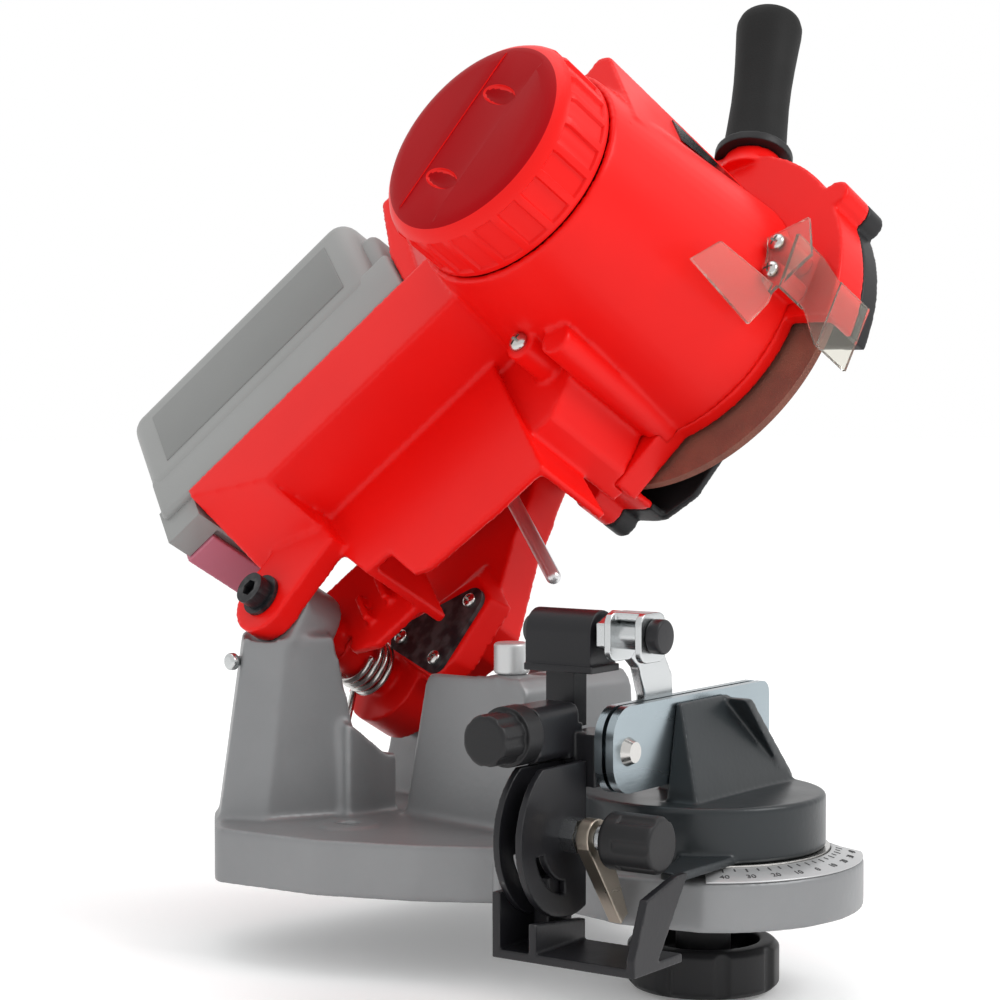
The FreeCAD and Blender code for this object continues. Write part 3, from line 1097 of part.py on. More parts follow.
def outer_flange():
    face = -WHEEL_T / 2
    disc = rod(FLANGE_R, (0, 0, face - 3), (0, 0, face))
    return placed(disc.cut(rod(SHAFT_R, (0, 0, -9), (0, 0, 9))), HEAD)


def spindle_nut():
    face = -WHEEL_T / 2 - 3
    nut = hexagon(NUT_AF, (0, 0, face - NUT_H), (0, 0, face))
    return placed(nut.cut(rod(SHAFT_R, (0, 0, -20), (0, 0, 0))), HEAD)


def armature_shaft():
    return placed(rod(SHAFT_R, (0, 0, -WHEEL_T / 2 - 3 - NUT_H - 1), (0, 0, SHAFT_TOP)), HEAD)


def armature():
    """Laminated core, windings and commutator on the shaft."""
    core = rod(CORE_R, (0, 0, CORE_FROM), (0, 0, CORE_TO))
    slots = []
    for i in range(8):
        x, y = polar(CORE_R, 45 * i)
        slots.append(rod(2.6, (x, y, CORE_FROM - 1), (x, y, CORE_TO + 1)))
    winding_low = rod(CORE_R - 5, (0, 0, CORE_FROM - 5), (0, 0, CORE_FROM))
    winding_top = rod(CORE_R - 5, (0, 0, CORE_TO), (0, 0, CORE_TO + 6))
    commutator = rod(COMMUTATOR_R, (0, 0, CORE_TO + 6), (0, 0, CORE_TO + 18))
    solid = core.cut(slots).fuse([winding_low, winding_top, commutator])
    return placed(solid.cut(rod(SHAFT_R, (0, 0, 0), (0, 0, 120))).removeSplitter(), HEAD)


def cooling_fan():
    """Fan behind the commutator."""
    low = CORE_TO + 21
    hub = rod(10, (0, 0, low), (0, 0, low + 8))
    disc = rod(30, (0, 0, low), (0, 0, low + 1.5))
    blades = [box(9, 30, -1, 1, low, low + 8).rotated(Vector(), Vector(0, 0, 1), 30 * i) for i in range(12)]
    return placed(hub.fuse([disc] + blades).cut(rod(SHAFT_R, (0, 0, 0), (0, 0, 130))).removeSplitter(), HEAD)


def motor_can():
    """Steel can of the motor with its two end plates' rims."""
    can = tube(CAN_R, CAN_R - CAN_WALL, (0, 0, CAN_FROM), (0, 0, CAN_FROM + CAN_H))
    foot = tube(CAN_R, BEARING_R + WALL + SLACK, (0, 0, CAN_FROM - 2), (0, 0, CAN_FROM))
    legs = []
    for i in range(3):
        x, y = polar(CAN_R - 4, 120 * i)
        legs.append(rod(3, (x, y, BARREL_LOW + WALL), (x, y, CAN_FROM - 1)))
    return placed(can.fuse([foot] + legs).removeSplitter(), HEAD)


def motor_magnets():
    """Two arc magnets inside the can."""
    ring = tube(CAN_R - CAN_WALL, CORE_R + 1.0, (0, 0, CORE_FROM), (0, 0, CORE_TO))
    halves = [ring.common(sector(CAN_R, CORE_FROM, CORE_TO, a, a + 140)) for a in (20, 200)]
    return placed(group(halves), HEAD)


def bearing(z0, outer_r):
    """A deep-groove ball bearing as one solid."""
    ring = tube(outer_r, SHAFT_R + RUN_FIT, (0, 0, z0), (0, 0, z0 + BEARING_T))
    groove = tube(outer_r - 2, SHAFT_R + 2, (0, 0, z0 + BEARING_T - 1), (0, 0, z0 + BEARING_T + 1))
    return placed(ring.cut(groove), HEAD)


def front_bearing():
    return bearing(FRONT_BEARING_AT, BEARING_R)


def rear_bearing():
    return bearing(REAR_BEARING_AT, REAR_BEARING_R)


def carbon_brushes():
    """The two brushes, from the can's wall to just off the commutator."""
    z = CORE_TO + 9
    ring = tube(CAN_R - CAN_WALL, COMMUTATOR_R + FACE_GAP, (0, 0, z), (0, 0, z + 6))
    return placed(ring.common(box(-CAN_R, CAN_R, -3, 3, z, z + 6)), HEAD)


# ---------------------------------------------------------------- battery
def battery_case():
    """Battery pack's shell with the hook that carries the release key."""
    outer = box(PACK_P0, PACK_P0 + PACK_LEN, PACK_Q0, PACK_Q0 + PACK_H, PACK_S0, PLATFORM_SIDE, 9, "X")
    inner = box(PACK_P0 + PACK_WALL, PACK_P0 + PACK_LEN - PACK_WALL, PACK_Q0 + PACK_WALL,
                PACK_Q0 + PACK_H - PACK_WALL, PACK_S0 + PACK_WALL, PLATFORM_SIDE - PACK_WALL)
    hook = box(PACK_P0, HOOK_END, HOOK_LOW, PACK_Q0 + 8, PACK_S0 + 8, PLATFORM_SIDE - 4)
    pocket = box(PACK_P0 - 1, PACK_P0 + 7, HOOK_LOW - 1, 34, KEY_S0 - KEY_FIT, KEY_S1 + KEY_FIT)
    recess = box(PACK_P0 - 1, HOOK_END - 1.5, HOOK_LOW - 1, HOOK_LOW - 1 + KEY_PLATE_T + KEY_FIT,
                 KEY_S0 - KEY_FIT, KEY_S1 + KEY_FIT)
    return placed(outer.cut(inner).fuse(hook).cut([pocket, recess]).removeSplitter(), HEAD)


def battery_release():
    """Red release key round the edge of the hook: its end is pushed, its plate lies under the hook."""
    low = HOOK_LOW - 1
    end = box(PACK_P0 - 1.5, PACK_P0 + 3.4, low, 34 - KEY_FIT, KEY_S0, KEY_S1)
    plate = box(PACK_P0 - 1.5, HOOK_END - 1.5 - KEY_TRAVEL - KEY_FIT, low, low + KEY_PLATE_T, KEY_S0, KEY_S1)
    return placed(end.fuse(plate).removeSplitter(), HEAD)


def battery_cells():
    """Ten cells across the pack."""
    solids = []
    middle = (PACK_S0 + PLATFORM_SIDE) / 2
    pitch = 2 * CELL_R
    q0 = PACK_Q0 + PACK_WALL + CELL_R
    p0 = PACK_P0 + (PACK_LEN - pitch * (CELLS_IN_ROW - 1)) / 2
    for row in range(CELL_ROWS):
        for i in range(CELLS_IN_ROW):
            x, y = p0 + pitch * i, q0 + pitch * row
            solids.append(rod(CELL_R, (x, y, middle - CELL_LEN / 2), (x, y, middle + CELL_LEN / 2)))
    return placed(group(solids), HEAD)


# ---------------------------------------------------------------- build
NODES = {
    "base_casting": base_casting,
    "tower_pin": tower_pin,
    "rest_post": rest_post,
    "hinge_bolt": hinge_bolt,
    "hinge_nut": hinge_nut,
    "return_spring": return_spring,
    "turntable_washer": turntable_washer,
    "vise_body": vise_body,
    "front_rail": front_rail,
    "rear_rail": rear_rail,
    "rail_rivets": rail_rivets,
    "pivot_stud": pivot_stud,
    "clamp_knob": clamp_knob,
    "stop_arm": stop_arm,
    "stop_bracket": stop_bracket,
    "stop_pin": stop_pin,
    "stop_sleeve": stop_sleeve,
    "stop_pawl": stop_pawl,
    "feed_block": feed_block,
    "feed_screw": feed_screw,
    "feed_knob": feed_knob,
    "front_cheek": front_cheek,
    "rear_cheek": rear_cheek,
    "lower_bracket": lower_bracket,
    "clamp_bolt": clamp_bolt,
    "clamp_nut": clamp_nut,
    "clamp_bolt_knob": clamp_bolt_knob,
    "chain_lever": chain_lever,
    "motor_housing": motor_housing,
    "power_switch": power_switch_frame,
    "switch_rocker": switch_rocker,
    "motor_end_cap": motor_end_cap,
    "guard_housing": guard_housing,
    "outer_guard": outer_guard,
    "guard_screws": guard_screws,
    "shell_screws": shell_screws,
    "label_plate": label_plate,
    "pivot_cover": pivot_cover,
    "pivot_cover_screws": pivot_cover_screws,
    "spark_shield": spark_shield,
    "shield_screws": shield_screws,
    "handle_core": handle_core,
    "handle_grip": handle_grip,
    "depth_rod": depth_rod,
    "depth_knob": depth_knob,
    "grinding_wheel": grinding_wheel,
    "inner_flange": inner_flange,
    "outer_flange": outer_flange,
    "spindle_nut": spindle_nut,
    "armature_shaft": armature_shaft,
    "armature": armature,
    "cooling_fan": cooling_fan,
    "motor_can": motor_can,
    "motor_magnets": motor_magnets,
    "front_bearing": front_bearing,
    "rear_bearing": rear_bearing,
    "carbon_brushes": carbon_brushes,
    "battery_case": battery_case,
    "battery_release": battery_release,
    "battery_cells": battery_cells,
}

os.makedirs("parts", exist_ok=True)
for name, build in NODES.items():
    shape = build()
    shape.exportStep(f"parts/{name}.step")
    print(f"{name}: {len(shape.Solids)} solid(s), {shape.Volume / 1000:.2f} cm3, valid {shape.isValid()}")
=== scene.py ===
import json
import logging
import math
from collections.abc import Callable, Sequence
from dataclasses import dataclass
from enum import Enum
from functools import cached_property

import bpy
from mathutils import Matrix, Vector


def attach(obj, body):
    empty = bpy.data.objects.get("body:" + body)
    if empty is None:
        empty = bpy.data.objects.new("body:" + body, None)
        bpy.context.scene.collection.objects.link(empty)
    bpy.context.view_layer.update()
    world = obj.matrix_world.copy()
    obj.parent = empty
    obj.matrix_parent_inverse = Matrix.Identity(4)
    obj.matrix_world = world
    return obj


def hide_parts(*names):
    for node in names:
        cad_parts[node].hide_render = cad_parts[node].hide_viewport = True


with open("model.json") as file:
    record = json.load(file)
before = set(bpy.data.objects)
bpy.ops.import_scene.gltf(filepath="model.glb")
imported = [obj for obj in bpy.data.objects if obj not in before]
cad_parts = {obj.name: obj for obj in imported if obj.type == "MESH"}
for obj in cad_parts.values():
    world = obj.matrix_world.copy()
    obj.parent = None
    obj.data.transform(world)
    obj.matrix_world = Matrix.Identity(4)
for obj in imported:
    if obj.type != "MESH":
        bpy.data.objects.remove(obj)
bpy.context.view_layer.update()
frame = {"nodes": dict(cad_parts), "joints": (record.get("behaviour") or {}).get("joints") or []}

MM = 0.001
MOST_TRIANGLES = 150000
WELD_GAP = 0.00001
SHARP_ANGLE = 32.0
ARM_LENGTH = 188.0
ARM_ALONG = 185.0
BRUSH_STRETCH = (0.12, 1.0, 1.0)
LOG = logging.getLogger("sharpener")

Colour = tuple[float, float, float]
Point = tuple[float, float, float]
Profile = tuple[tuple[float, float], ...]
Piece = bpy.types.Object
Tree = bpy.types.ShaderNodeTree
Socket = bpy.types.NodeSocket
Sockets = bpy.types.bpy_prop_collection


# ---- frames of the object
def joint_entry(name: str) -> dict:
    """Finds a joint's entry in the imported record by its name."""
    return next(joint for joint in frame["joints"] if joint["name"] == name)


def head_frame() -> Matrix:
    """Works out the head's own frame: X along the head, Y up and back, Z towards the motor cap.

    Returns:
        The placement that carries head coordinates in metres into the row frame.
    """
    hinge = Vector(joint_entry("head_swing")["pos_m"])
    spin = joint_entry("wheel_spin")
    centre, axis = Vector(spin["pos_m"]), Vector(spin["axis"]).normalized()
    lift = math.acos(ARM_ALONG / ARM_LENGTH)
    along = (Matrix.Rotation(-lift, 3, axis) @ (centre - hinge)).normalized()
    across = axis.cross(along)
    turn = Matrix((along, across, axis)).transposed().to_4x4()
    return Matrix.Translation(centre) @ turn


HEAD = head_frame()


# ---- shared shader effects
class Effects:
    """Node groups that several finishes share, each built when it is first asked for."""

    @staticmethod
    def begun(name: str, inputs: dict[str, Colour | float | None],
              outputs: dict[str, str]) -> tuple[Tree, Sockets, Sockets]:
        """Starts a node group.

        Args:
            name: the group's name.
            inputs: socket name to its default value.
            outputs: socket name to its socket type.

        Returns:
            Its tree, the sockets of its input node and those of its output node.
        """
        tree = bpy.data.node_groups.new(name, "ShaderNodeTree")
        for label, value in inputs.items():
            kind = "NodeSocketFloat"
            if label == "Vector":
                kind = "NodeSocketVector"
            elif isinstance(value, tuple):
                kind = "NodeSocketColor"
            socket = tree.interface.new_socket(name=label, in_out="INPUT", socket_type=kind)
            if kind != "NodeSocketVector":
                socket.default_value = (*value, 1.0) if isinstance(value, tuple) else value
        for label, kind in outputs.items():
            tree.interface.new_socket(name=label, in_out="OUTPUT", socket_type=kind)
        source, target = tree.nodes.new("NodeGroupInput"), tree.nodes.new("NodeGroupOutput")
        return tree, source.outputs, target.inputs

    @cached_property
    def colour_drift(self) -> Tree:
        """Slow change between two colours over the surface.

        Returns:
            The node group.
        """
        tree, source, target = self.begun(
            "Colour drift", {"Vector": None, "Colour": (0.5, 0.5, 0.5), "Second": (0.4, 0.4, 0.4),
                             "Scale": 20.0, "Amount": 0.5}, {"Colour": "NodeSocketColor"})
        add, link = tree.nodes.new, tree.links.new
        noise = add("ShaderNodeTexNoise")
        noise.inputs["Detail"].default_value = 5.0
        spread = add("ShaderNodeMapRange")
        spread.inputs["From Min"].default_value = 0.35
        spread.inputs["From Max"].default_value = 0.68
        amount = add("ShaderNodeMath")
        amount.operation = "MULTIPLY"
        mix = add("ShaderNodeMix")
        mix.data_type = "RGBA"
        link(source["Vector"], noise.inputs["Vector"])
        link(source["Scale"], noise.inputs["Scale"])
        link(noise.outputs["Fac"], spread.inputs["Value"])
        link(spread.outputs["Result"], amount.inputs[0])
        link(source["Amount"], amount.inputs[1])
        link(amount.outputs[0], mix.inputs["Factor"])
        link(source["Colour"], mix.inputs["A"])
        link(source["Second"], mix.inputs["B"])
        link(mix.outputs["Result"], target["Colour"])
        return tree

    @cached_property
    def rough_drift(self) -> Tree:
        """Roughness that changes in soft patches.

        Returns:
            The node group.
        """
        tree, source, target = self.begun(
            "Roughness drift", {"Vector": None, "Roughness": 0.4, "Spread": 0.2, "Scale": 60.0},
            {"Roughness": "NodeSocketFloat"})
        add, link = tree.nodes.new, tree.links.new
        noise = add("ShaderNodeTexNoise")
        noise.inputs["Detail"].default_value = 3.0
        centred = add("ShaderNodeMath")
        centred.operation = "SUBTRACT"
        centred.inputs[1].default_value = 0.5
        scaled = add("ShaderNodeMath")
        scaled.operation = "MULTIPLY_ADD"
        link(source["Vector"], noise.inputs["Vector"])
        link(source["Scale"], noise.inputs["Scale"])
        link(noise.outputs["Fac"], centred.inputs[0])
        link(centred.outputs[0], scaled.inputs[0])
        link(source["Spread"], scaled.inputs[1])
        link(source["Roughness"], scaled.inputs[2])
        link(scaled.outputs[0], target["Roughness"])
        return tree

    @cached_property
    def grain(self) -> Tree:
        """Fine pebbled height of moulded or cast surfaces.

        Returns:
            The node group.
        """
        tree, source, target = self.begun("Grain", {"Vector": None, "Scale": 400.0, "Pebble": 0.3},
                                          {"Height": "NodeSocketFloat"})
        add, link = tree.nodes.new, tree.links.new
        noise = add("ShaderNodeTexNoise")
        noise.inputs["Detail"].default_value = 4.0
        cells = add("ShaderNodeTexVoronoi")
        mix = add("ShaderNodeMix")
        link(source["Vector"], noise.inputs["Vector"])
        link(source["Vector"], cells.inputs["Vector"])
        link(source["Scale"], noise.inputs["Scale"])
        link(source["Scale"], cells.inputs["Scale"])
        link(source["Pebble"], mix.inputs["Factor"])
        link(noise.outputs["Fac"], mix.inputs["A"])
        link(cells.outputs["Distance"], mix.inputs["B"])
        link(mix.outputs["Result"], target["Height"])
        return tree

    @cached_property
    def edge_wear(self) -> Tree:
        """Mask of rubbed convex edges, broken up by noise.

        Returns:
            The node group.
        """
        tree, source, target = self.begun("Edge wear", {"Vector": None, "Amount": 0.5},
                                          {"Mask": "NodeSocketFloat"})
        add, link = tree.nodes.new, tree.links.new
        geometry = add("ShaderNodeNewGeometry")
        noise = add("ShaderNodeTexNoise")
        noise.inputs["Scale"].default_value = 180.0
        edge = add("ShaderNodeMapRange")
        edge.inputs["From Min"].default_value = 0.53
        edge.inputs["From Max"].default_value = 0.60
        broken = add("ShaderNodeMapRange")
        broken.inputs["From Min"].default_value = 0.42
        broken.inputs["From Max"].default_value = 0.62
        both = add("ShaderNodeMath")
        both.operation = "MULTIPLY"
        amount = add("ShaderNodeMath")
        amount.operation = "MULTIPLY"
        amount.use_clamp = True
        link(source["Vector"], noise.inputs["Vector"])
        link(geometry.outputs["Pointiness"], edge.inputs["Value"])
        link(noise.outputs["Fac"], broken.inputs["Value"])
        link(edge.outputs["Result"], both.inputs[0])
        link(broken.outputs["Result"], both.inputs[1])
        link(both.outputs[0], amount.inputs[0])
        link(source["Amount"], amount.inputs[1])
        link(amount.outputs[0], target["Mask"])
        return tree


EFFECTS = Effects()


class Texture(Enum):
    """How a finish's fine relief runs."""

    EVEN = "even"
    BRUSHED = "brushed"


@dataclass(frozen=True)
class Finish:
    """One surface finish, from its colour to its fine relief."""

    name: str
    colour: Colour
    second: Colour
    rough: float
    rough_spread: float = 0.12
    metal: float = 0.0
    coat: float = 0.0
    drift: float = 0.6
    drift_scale: float = 18.0
    grain_scale: float = 500.0
    grain_depth: float = 0.00003
    pebble: float = 0.2
    wear: float = 0.0
    worn: Colour = (0.5, 0.5, 0.5)
    texture: Texture = Texture.EVEN
    clear: float = 0.0
    gloss: float = 0.5

    def material(self) -> bpy.types.Material:
        """Finds the finish's material, building it the first time.

        Returns:
            The material.
        """
        known = bpy.data.materials.get(self.name)
        if known is not None:
            return known
        made = bpy.data.materials.new(self.name)
        made.use_nodes = True
        made.diffuse_color = (*self.colour, 1.0)
        self.wire(made.node_tree)
        return made

    def wire(self, tree: Tree) -> None:
        """Links the shared effects into the shader.

        Args:
            tree: the material's node tree, with its default shader.
        """
        shader = tree.nodes["Principled BSDF"]
        values = {"Metallic": self.metal, "Coat Weight": self.coat, "Coat Roughness": 0.12,
                  "Specular IOR Level": self.gloss}
        if self.clear:
            values |= {"Transmission Weight": self.clear, "IOR": 1.2}
        for label, value in values.items():
            shader.inputs[label].default_value = value
        place = tree.nodes.new("ShaderNodeTexCoord")
        spot = place.outputs["Object"]
        stretched = self.stretched(tree, spot)
        colour = self.effect(tree, EFFECTS.colour_drift, spot, Scale=self.drift_scale, Amount=self.drift)
        colour.inputs["Colour"].default_value = (*self.colour, 1.0)
        colour.inputs["Second"].default_value = (*self.second, 1.0)
        final = colour.outputs["Colour"]
        if self.wear:
            final = self.worn_over(tree, final, spot)
        tree.links.new(final, shader.inputs["Base Color"])
        rough = self.effect(tree, EFFECTS.rough_drift, stretched, Roughness=self.rough,
                            Spread=self.rough_spread)
        tree.links.new(rough.outputs["Roughness"], shader.inputs["Roughness"])
        grain = self.effect(tree, EFFECTS.grain, stretched, Scale=self.grain_scale, Pebble=self.pebble)
        bump = tree.nodes.new("ShaderNodeBump")
        bump.inputs["Strength"].default_value = 1.0
        bump.inputs["Distance"].default_value = self.grain_depth
        tree.links.new(grain.outputs["Height"], bump.inputs["Height"])
        tree.links.new(bump.outputs["Normal"], shader.inputs["Normal"])

    def stretched(self, tree: Tree, spot: Socket) -> Socket:
        """Draws the coordinates out along the brushing.

        Args:
            tree: the material's node tree.
            spot: the coordinates.

        Returns:
            The drawn-out coordinates, or the same ones on an even finish.
        """
        if self.texture is not Texture.BRUSHED:
            return spot
        mapping = tree.nodes.new("ShaderNodeMapping")
        mapping.inputs["Scale"].default_value = BRUSH_STRETCH
        tree.links.new(spot, mapping.inputs["Vector"])
        return mapping.outputs["Vector"]

    def effect(self, tree: Tree, group: Tree, spot: Socket, **values: float) -> bpy.types.Node:
        """Places a shared effect in the material.

        Args:
            tree: the material's node tree.
            group: the effect's node group.
            spot: the coordinates that it reads.
            **values: the effect's own values by input name.

        Returns:
            The placed group node.
        """
        node = tree.nodes.new("ShaderNodeGroup")
        node.node_tree = group
        tree.links.new(spot, node.inputs["Vector"])
        for label, value in values.items():
            node.inputs[label].default_value = value
        return node

    def worn_over(self, tree: Tree, under: Socket, spot: Socket) -> Socket:
        """Mixes the rubbed colour over the finish along its edges.

        Args:
            tree: the material's node tree.
            under: the finish's own colour.
            spot: the coordinates that break up the wear.

        Returns:
            The mixed colour.
        """
        mask = self.effect(tree, EFFECTS.edge_wear, spot, Amount=self.wear)
        mix = tree.nodes.new("ShaderNodeMix")
        mix.data_type = "RGBA"
        tree.links.new(mask.outputs["Mask"], mix.inputs["Factor"])
        tree.links.new(under, mix.inputs["A"])
        mix.inputs["B"].default_value = (*self.worn, 1.0)
        return mix.outputs["Result"]


RED = Finish("red moulded shell", (0.80, 0.006, 0.004), (0.70, 0.004, 0.004), 0.36, 0.10,
             grain_scale=900.0, grain_depth=0.000012, drift=0.5, gloss=0.20)
# Darker red for the cap's outer face: painted shade, since that face turns away from the key light; the cap is
# the same red plastic as the shell.
CAP_RED_PAINTED_SHADE = Finish("red cap face with painted shade", (0.36, 0.001, 0.004), (0.30, 0.001, 0.003), 0.42, 0.10,
                 grain_scale=1100.0, grain_depth=0.00003, gloss=0.06)
CASTING = Finish("silver paint on casting", (0.25, 0.255, 0.26), (0.19, 0.195, 0.20), 0.42, 0.16,
                 metal=0.35, grain_scale=330.0, grain_depth=0.00009, pebble=0.5, wear=0.35,
                 worn=(0.55, 0.55, 0.55))
FLANGE_SILVER = Finish("silver scale flange", (0.52, 0.525, 0.53), (0.43, 0.435, 0.44), 0.34, 0.14,
                       metal=0.45, grain_scale=380.0, grain_depth=0.00007, pebble=0.5)
POST_GREY = Finish("satin post", (0.62, 0.63, 0.63), (0.55, 0.56, 0.56), 0.35, 0.1, metal=0.5)
CHARCOAL = Finish("charcoal paint", (0.022, 0.027, 0.030), (0.015, 0.018, 0.020), 0.36, 0.14, metal=0.1,
                  coat=0.08, gloss=0.35, grain_scale=420.0, grain_depth=0.00006, wear=0.25,
                  worn=(0.2, 0.21, 0.22))
BLACK_METAL = Finish("black painted steel", (0.008, 0.008, 0.010), (0.014, 0.014, 0.016), 0.38, 0.16,
                     coat=0.05, grain_scale=600.0, grain_depth=0.00004, wear=0.5, worn=(0.10, 0.10, 0.10),
                     gloss=0.3)
BLACK_PLASTIC = Finish("black moulded plastic", (0.010, 0.010, 0.011), (0.016, 0.016, 0.017), 0.44, 0.14,
                       grain_scale=800.0, grain_depth=0.00004, gloss=0.3)
BLACK_GLOSS = Finish("black gloss film", (0.008, 0.008, 0.008), (0.012, 0.012, 0.013), 0.18, 0.06, coat=0.4,
                     grain_depth=0.000005)
RUBBER = Finish("black rubber grip", (0.006, 0.006, 0.006), (0.010, 0.010, 0.010), 0.62, 0.16,
                grain_scale=1200.0, grain_depth=0.00008, pebble=0.6, gloss=0.2)
ZINC = Finish("bright zinc", (0.58, 0.60, 0.61), (0.50, 0.51, 0.50), 0.26, 0.14, metal=1.0,
              grain_scale=700.0, grain_depth=0.00002, texture=Texture.BRUSHED)
RAIL_STEEL = Finish("blue zinc rail", (0.36, 0.42, 0.45), (0.29, 0.34, 0.37), 0.27, 0.14, metal=1.0,
                    grain_scale=600.0, grain_depth=0.00003, texture=Texture.BRUSHED)
STEEL = Finish("bright steel", (0.60, 0.59, 0.57), (0.50, 0.49, 0.47), 0.24, 0.12, metal=1.0,
               grain_scale=800.0, grain_depth=0.00002)
CHROME = Finish("bright plated rod", (0.72, 0.72, 0.73), (0.66, 0.66, 0.67), 0.30, 0.08, metal=0.75,
                grain_depth=0.000004)
LEVER_STEEL = Finish("browned lever steel", (0.40, 0.35, 0.29), (0.28, 0.24, 0.20), 0.30, 0.16, metal=0.9,
                     grain_scale=500.0, grain_depth=0.00005, texture=Texture.BRUSHED)
ABRASIVE = Finish("brown abrasive", (0.235, 0.085, 0.055), (0.16, 0.055, 0.04), 0.85, 0.1, drift=0.8,
                  drift_scale=60.0, grain_scale=1400.0, grain_depth=0.00025, pebble=0.7)
CLEAR = Finish("clear shield sheet", (0.90, 0.88, 0.80), (0.87, 0.84, 0.76), 0.06, 0.05, clear=0.93,
               grain_depth=0.000004)
BATTERY_GREY = Finish("grey battery shell", (0.29, 0.295, 0.29), (0.255, 0.26, 0.255), 0.46, 0.12,
                      grain_scale=900.0, grain_depth=0.00004)
BATTERY_DARK = Finish("darker battery panel", (0.205, 0.21, 0.205), (0.18, 0.185, 0.18), 0.40, 0.12,
                      grain_scale=1000.0, grain_depth=0.00003)
KEY_RED = Finish("faded red key", (0.52, 0.16, 0.22), (0.46, 0.13, 0.19), 0.42, 0.1, grain_scale=900.0)
IRON = Finish("laminated iron", (0.22, 0.21, 0.20), (0.17, 0.16, 0.15), 0.45, 0.12, metal=0.8)
FERRITE = Finish("ferrite", (0.05, 0.05, 0.05), (0.035, 0.035, 0.035), 0.6)
SLEEVE = Finish("cell sleeve", (0.08, 0.22, 0.18), (0.06, 0.18, 0.15), 0.35)
INK = Finish("dark scale ink", (0.035, 0.035, 0.038), (0.05, 0.05, 0.05), 0.5)

NODE_FINISHES: dict[Finish, tuple[str, ...]] = {
    RED: ("motor_housing", "guard_housing", "motor_end_cap"),
    CASTING: ("base_casting",),
    POST_GREY: ("rest_post",),
    ZINC: ("tower_pin", "hinge_nut", "pivot_stud", "stop_arm", "stop_bracket", "stop_sleeve", "feed_screw",
           "clamp_bolt", "clamp_nut", "inner_flange", "outer_flange", "spindle_nut", "motor_can"),
    STEEL: ("return_spring", "turntable_washer", "rail_rivets", "guard_screws", "shell_screws",
            "pivot_cover_screws", "shield_screws", "armature_shaft", "front_bearing", "rear_bearing"),
    CHARCOAL: ("vise_body",),
    RAIL_STEEL: ("front_rail", "rear_rail"),
    BLACK_METAL: ("hinge_bolt", "stop_pin", "stop_pawl", "feed_block", "front_cheek", "rear_cheek",
                  "lower_bracket", "pivot_cover"),
    BLACK_PLASTIC: ("clamp_knob", "feed_knob", "clamp_bolt_knob", "power_switch", "outer_guard",
                    "handle_core", "depth_knob", "cooling_fan", "carbon_brushes"),
    BLACK_GLOSS: ("switch_rocker", "label_plate"),
    RUBBER: ("handle_grip",),
    CHROME: ("depth_rod",),
    LEVER_STEEL: ("chain_lever",),
    ABRASIVE: ("grinding_wheel",),
    CLEAR: ("spark_shield",),
    BATTERY_GREY: ("battery_case",),
    KEY_RED: ("battery_release",),
    IRON: ("armature",),
    FERRITE: ("motor_magnets",),
    SLEEVE: ("battery_cells",),
}
FINISH_OF: dict[str, Finish] = {node: finish for finish, nodes in NODE_FINISHES.items() for node in nodes}


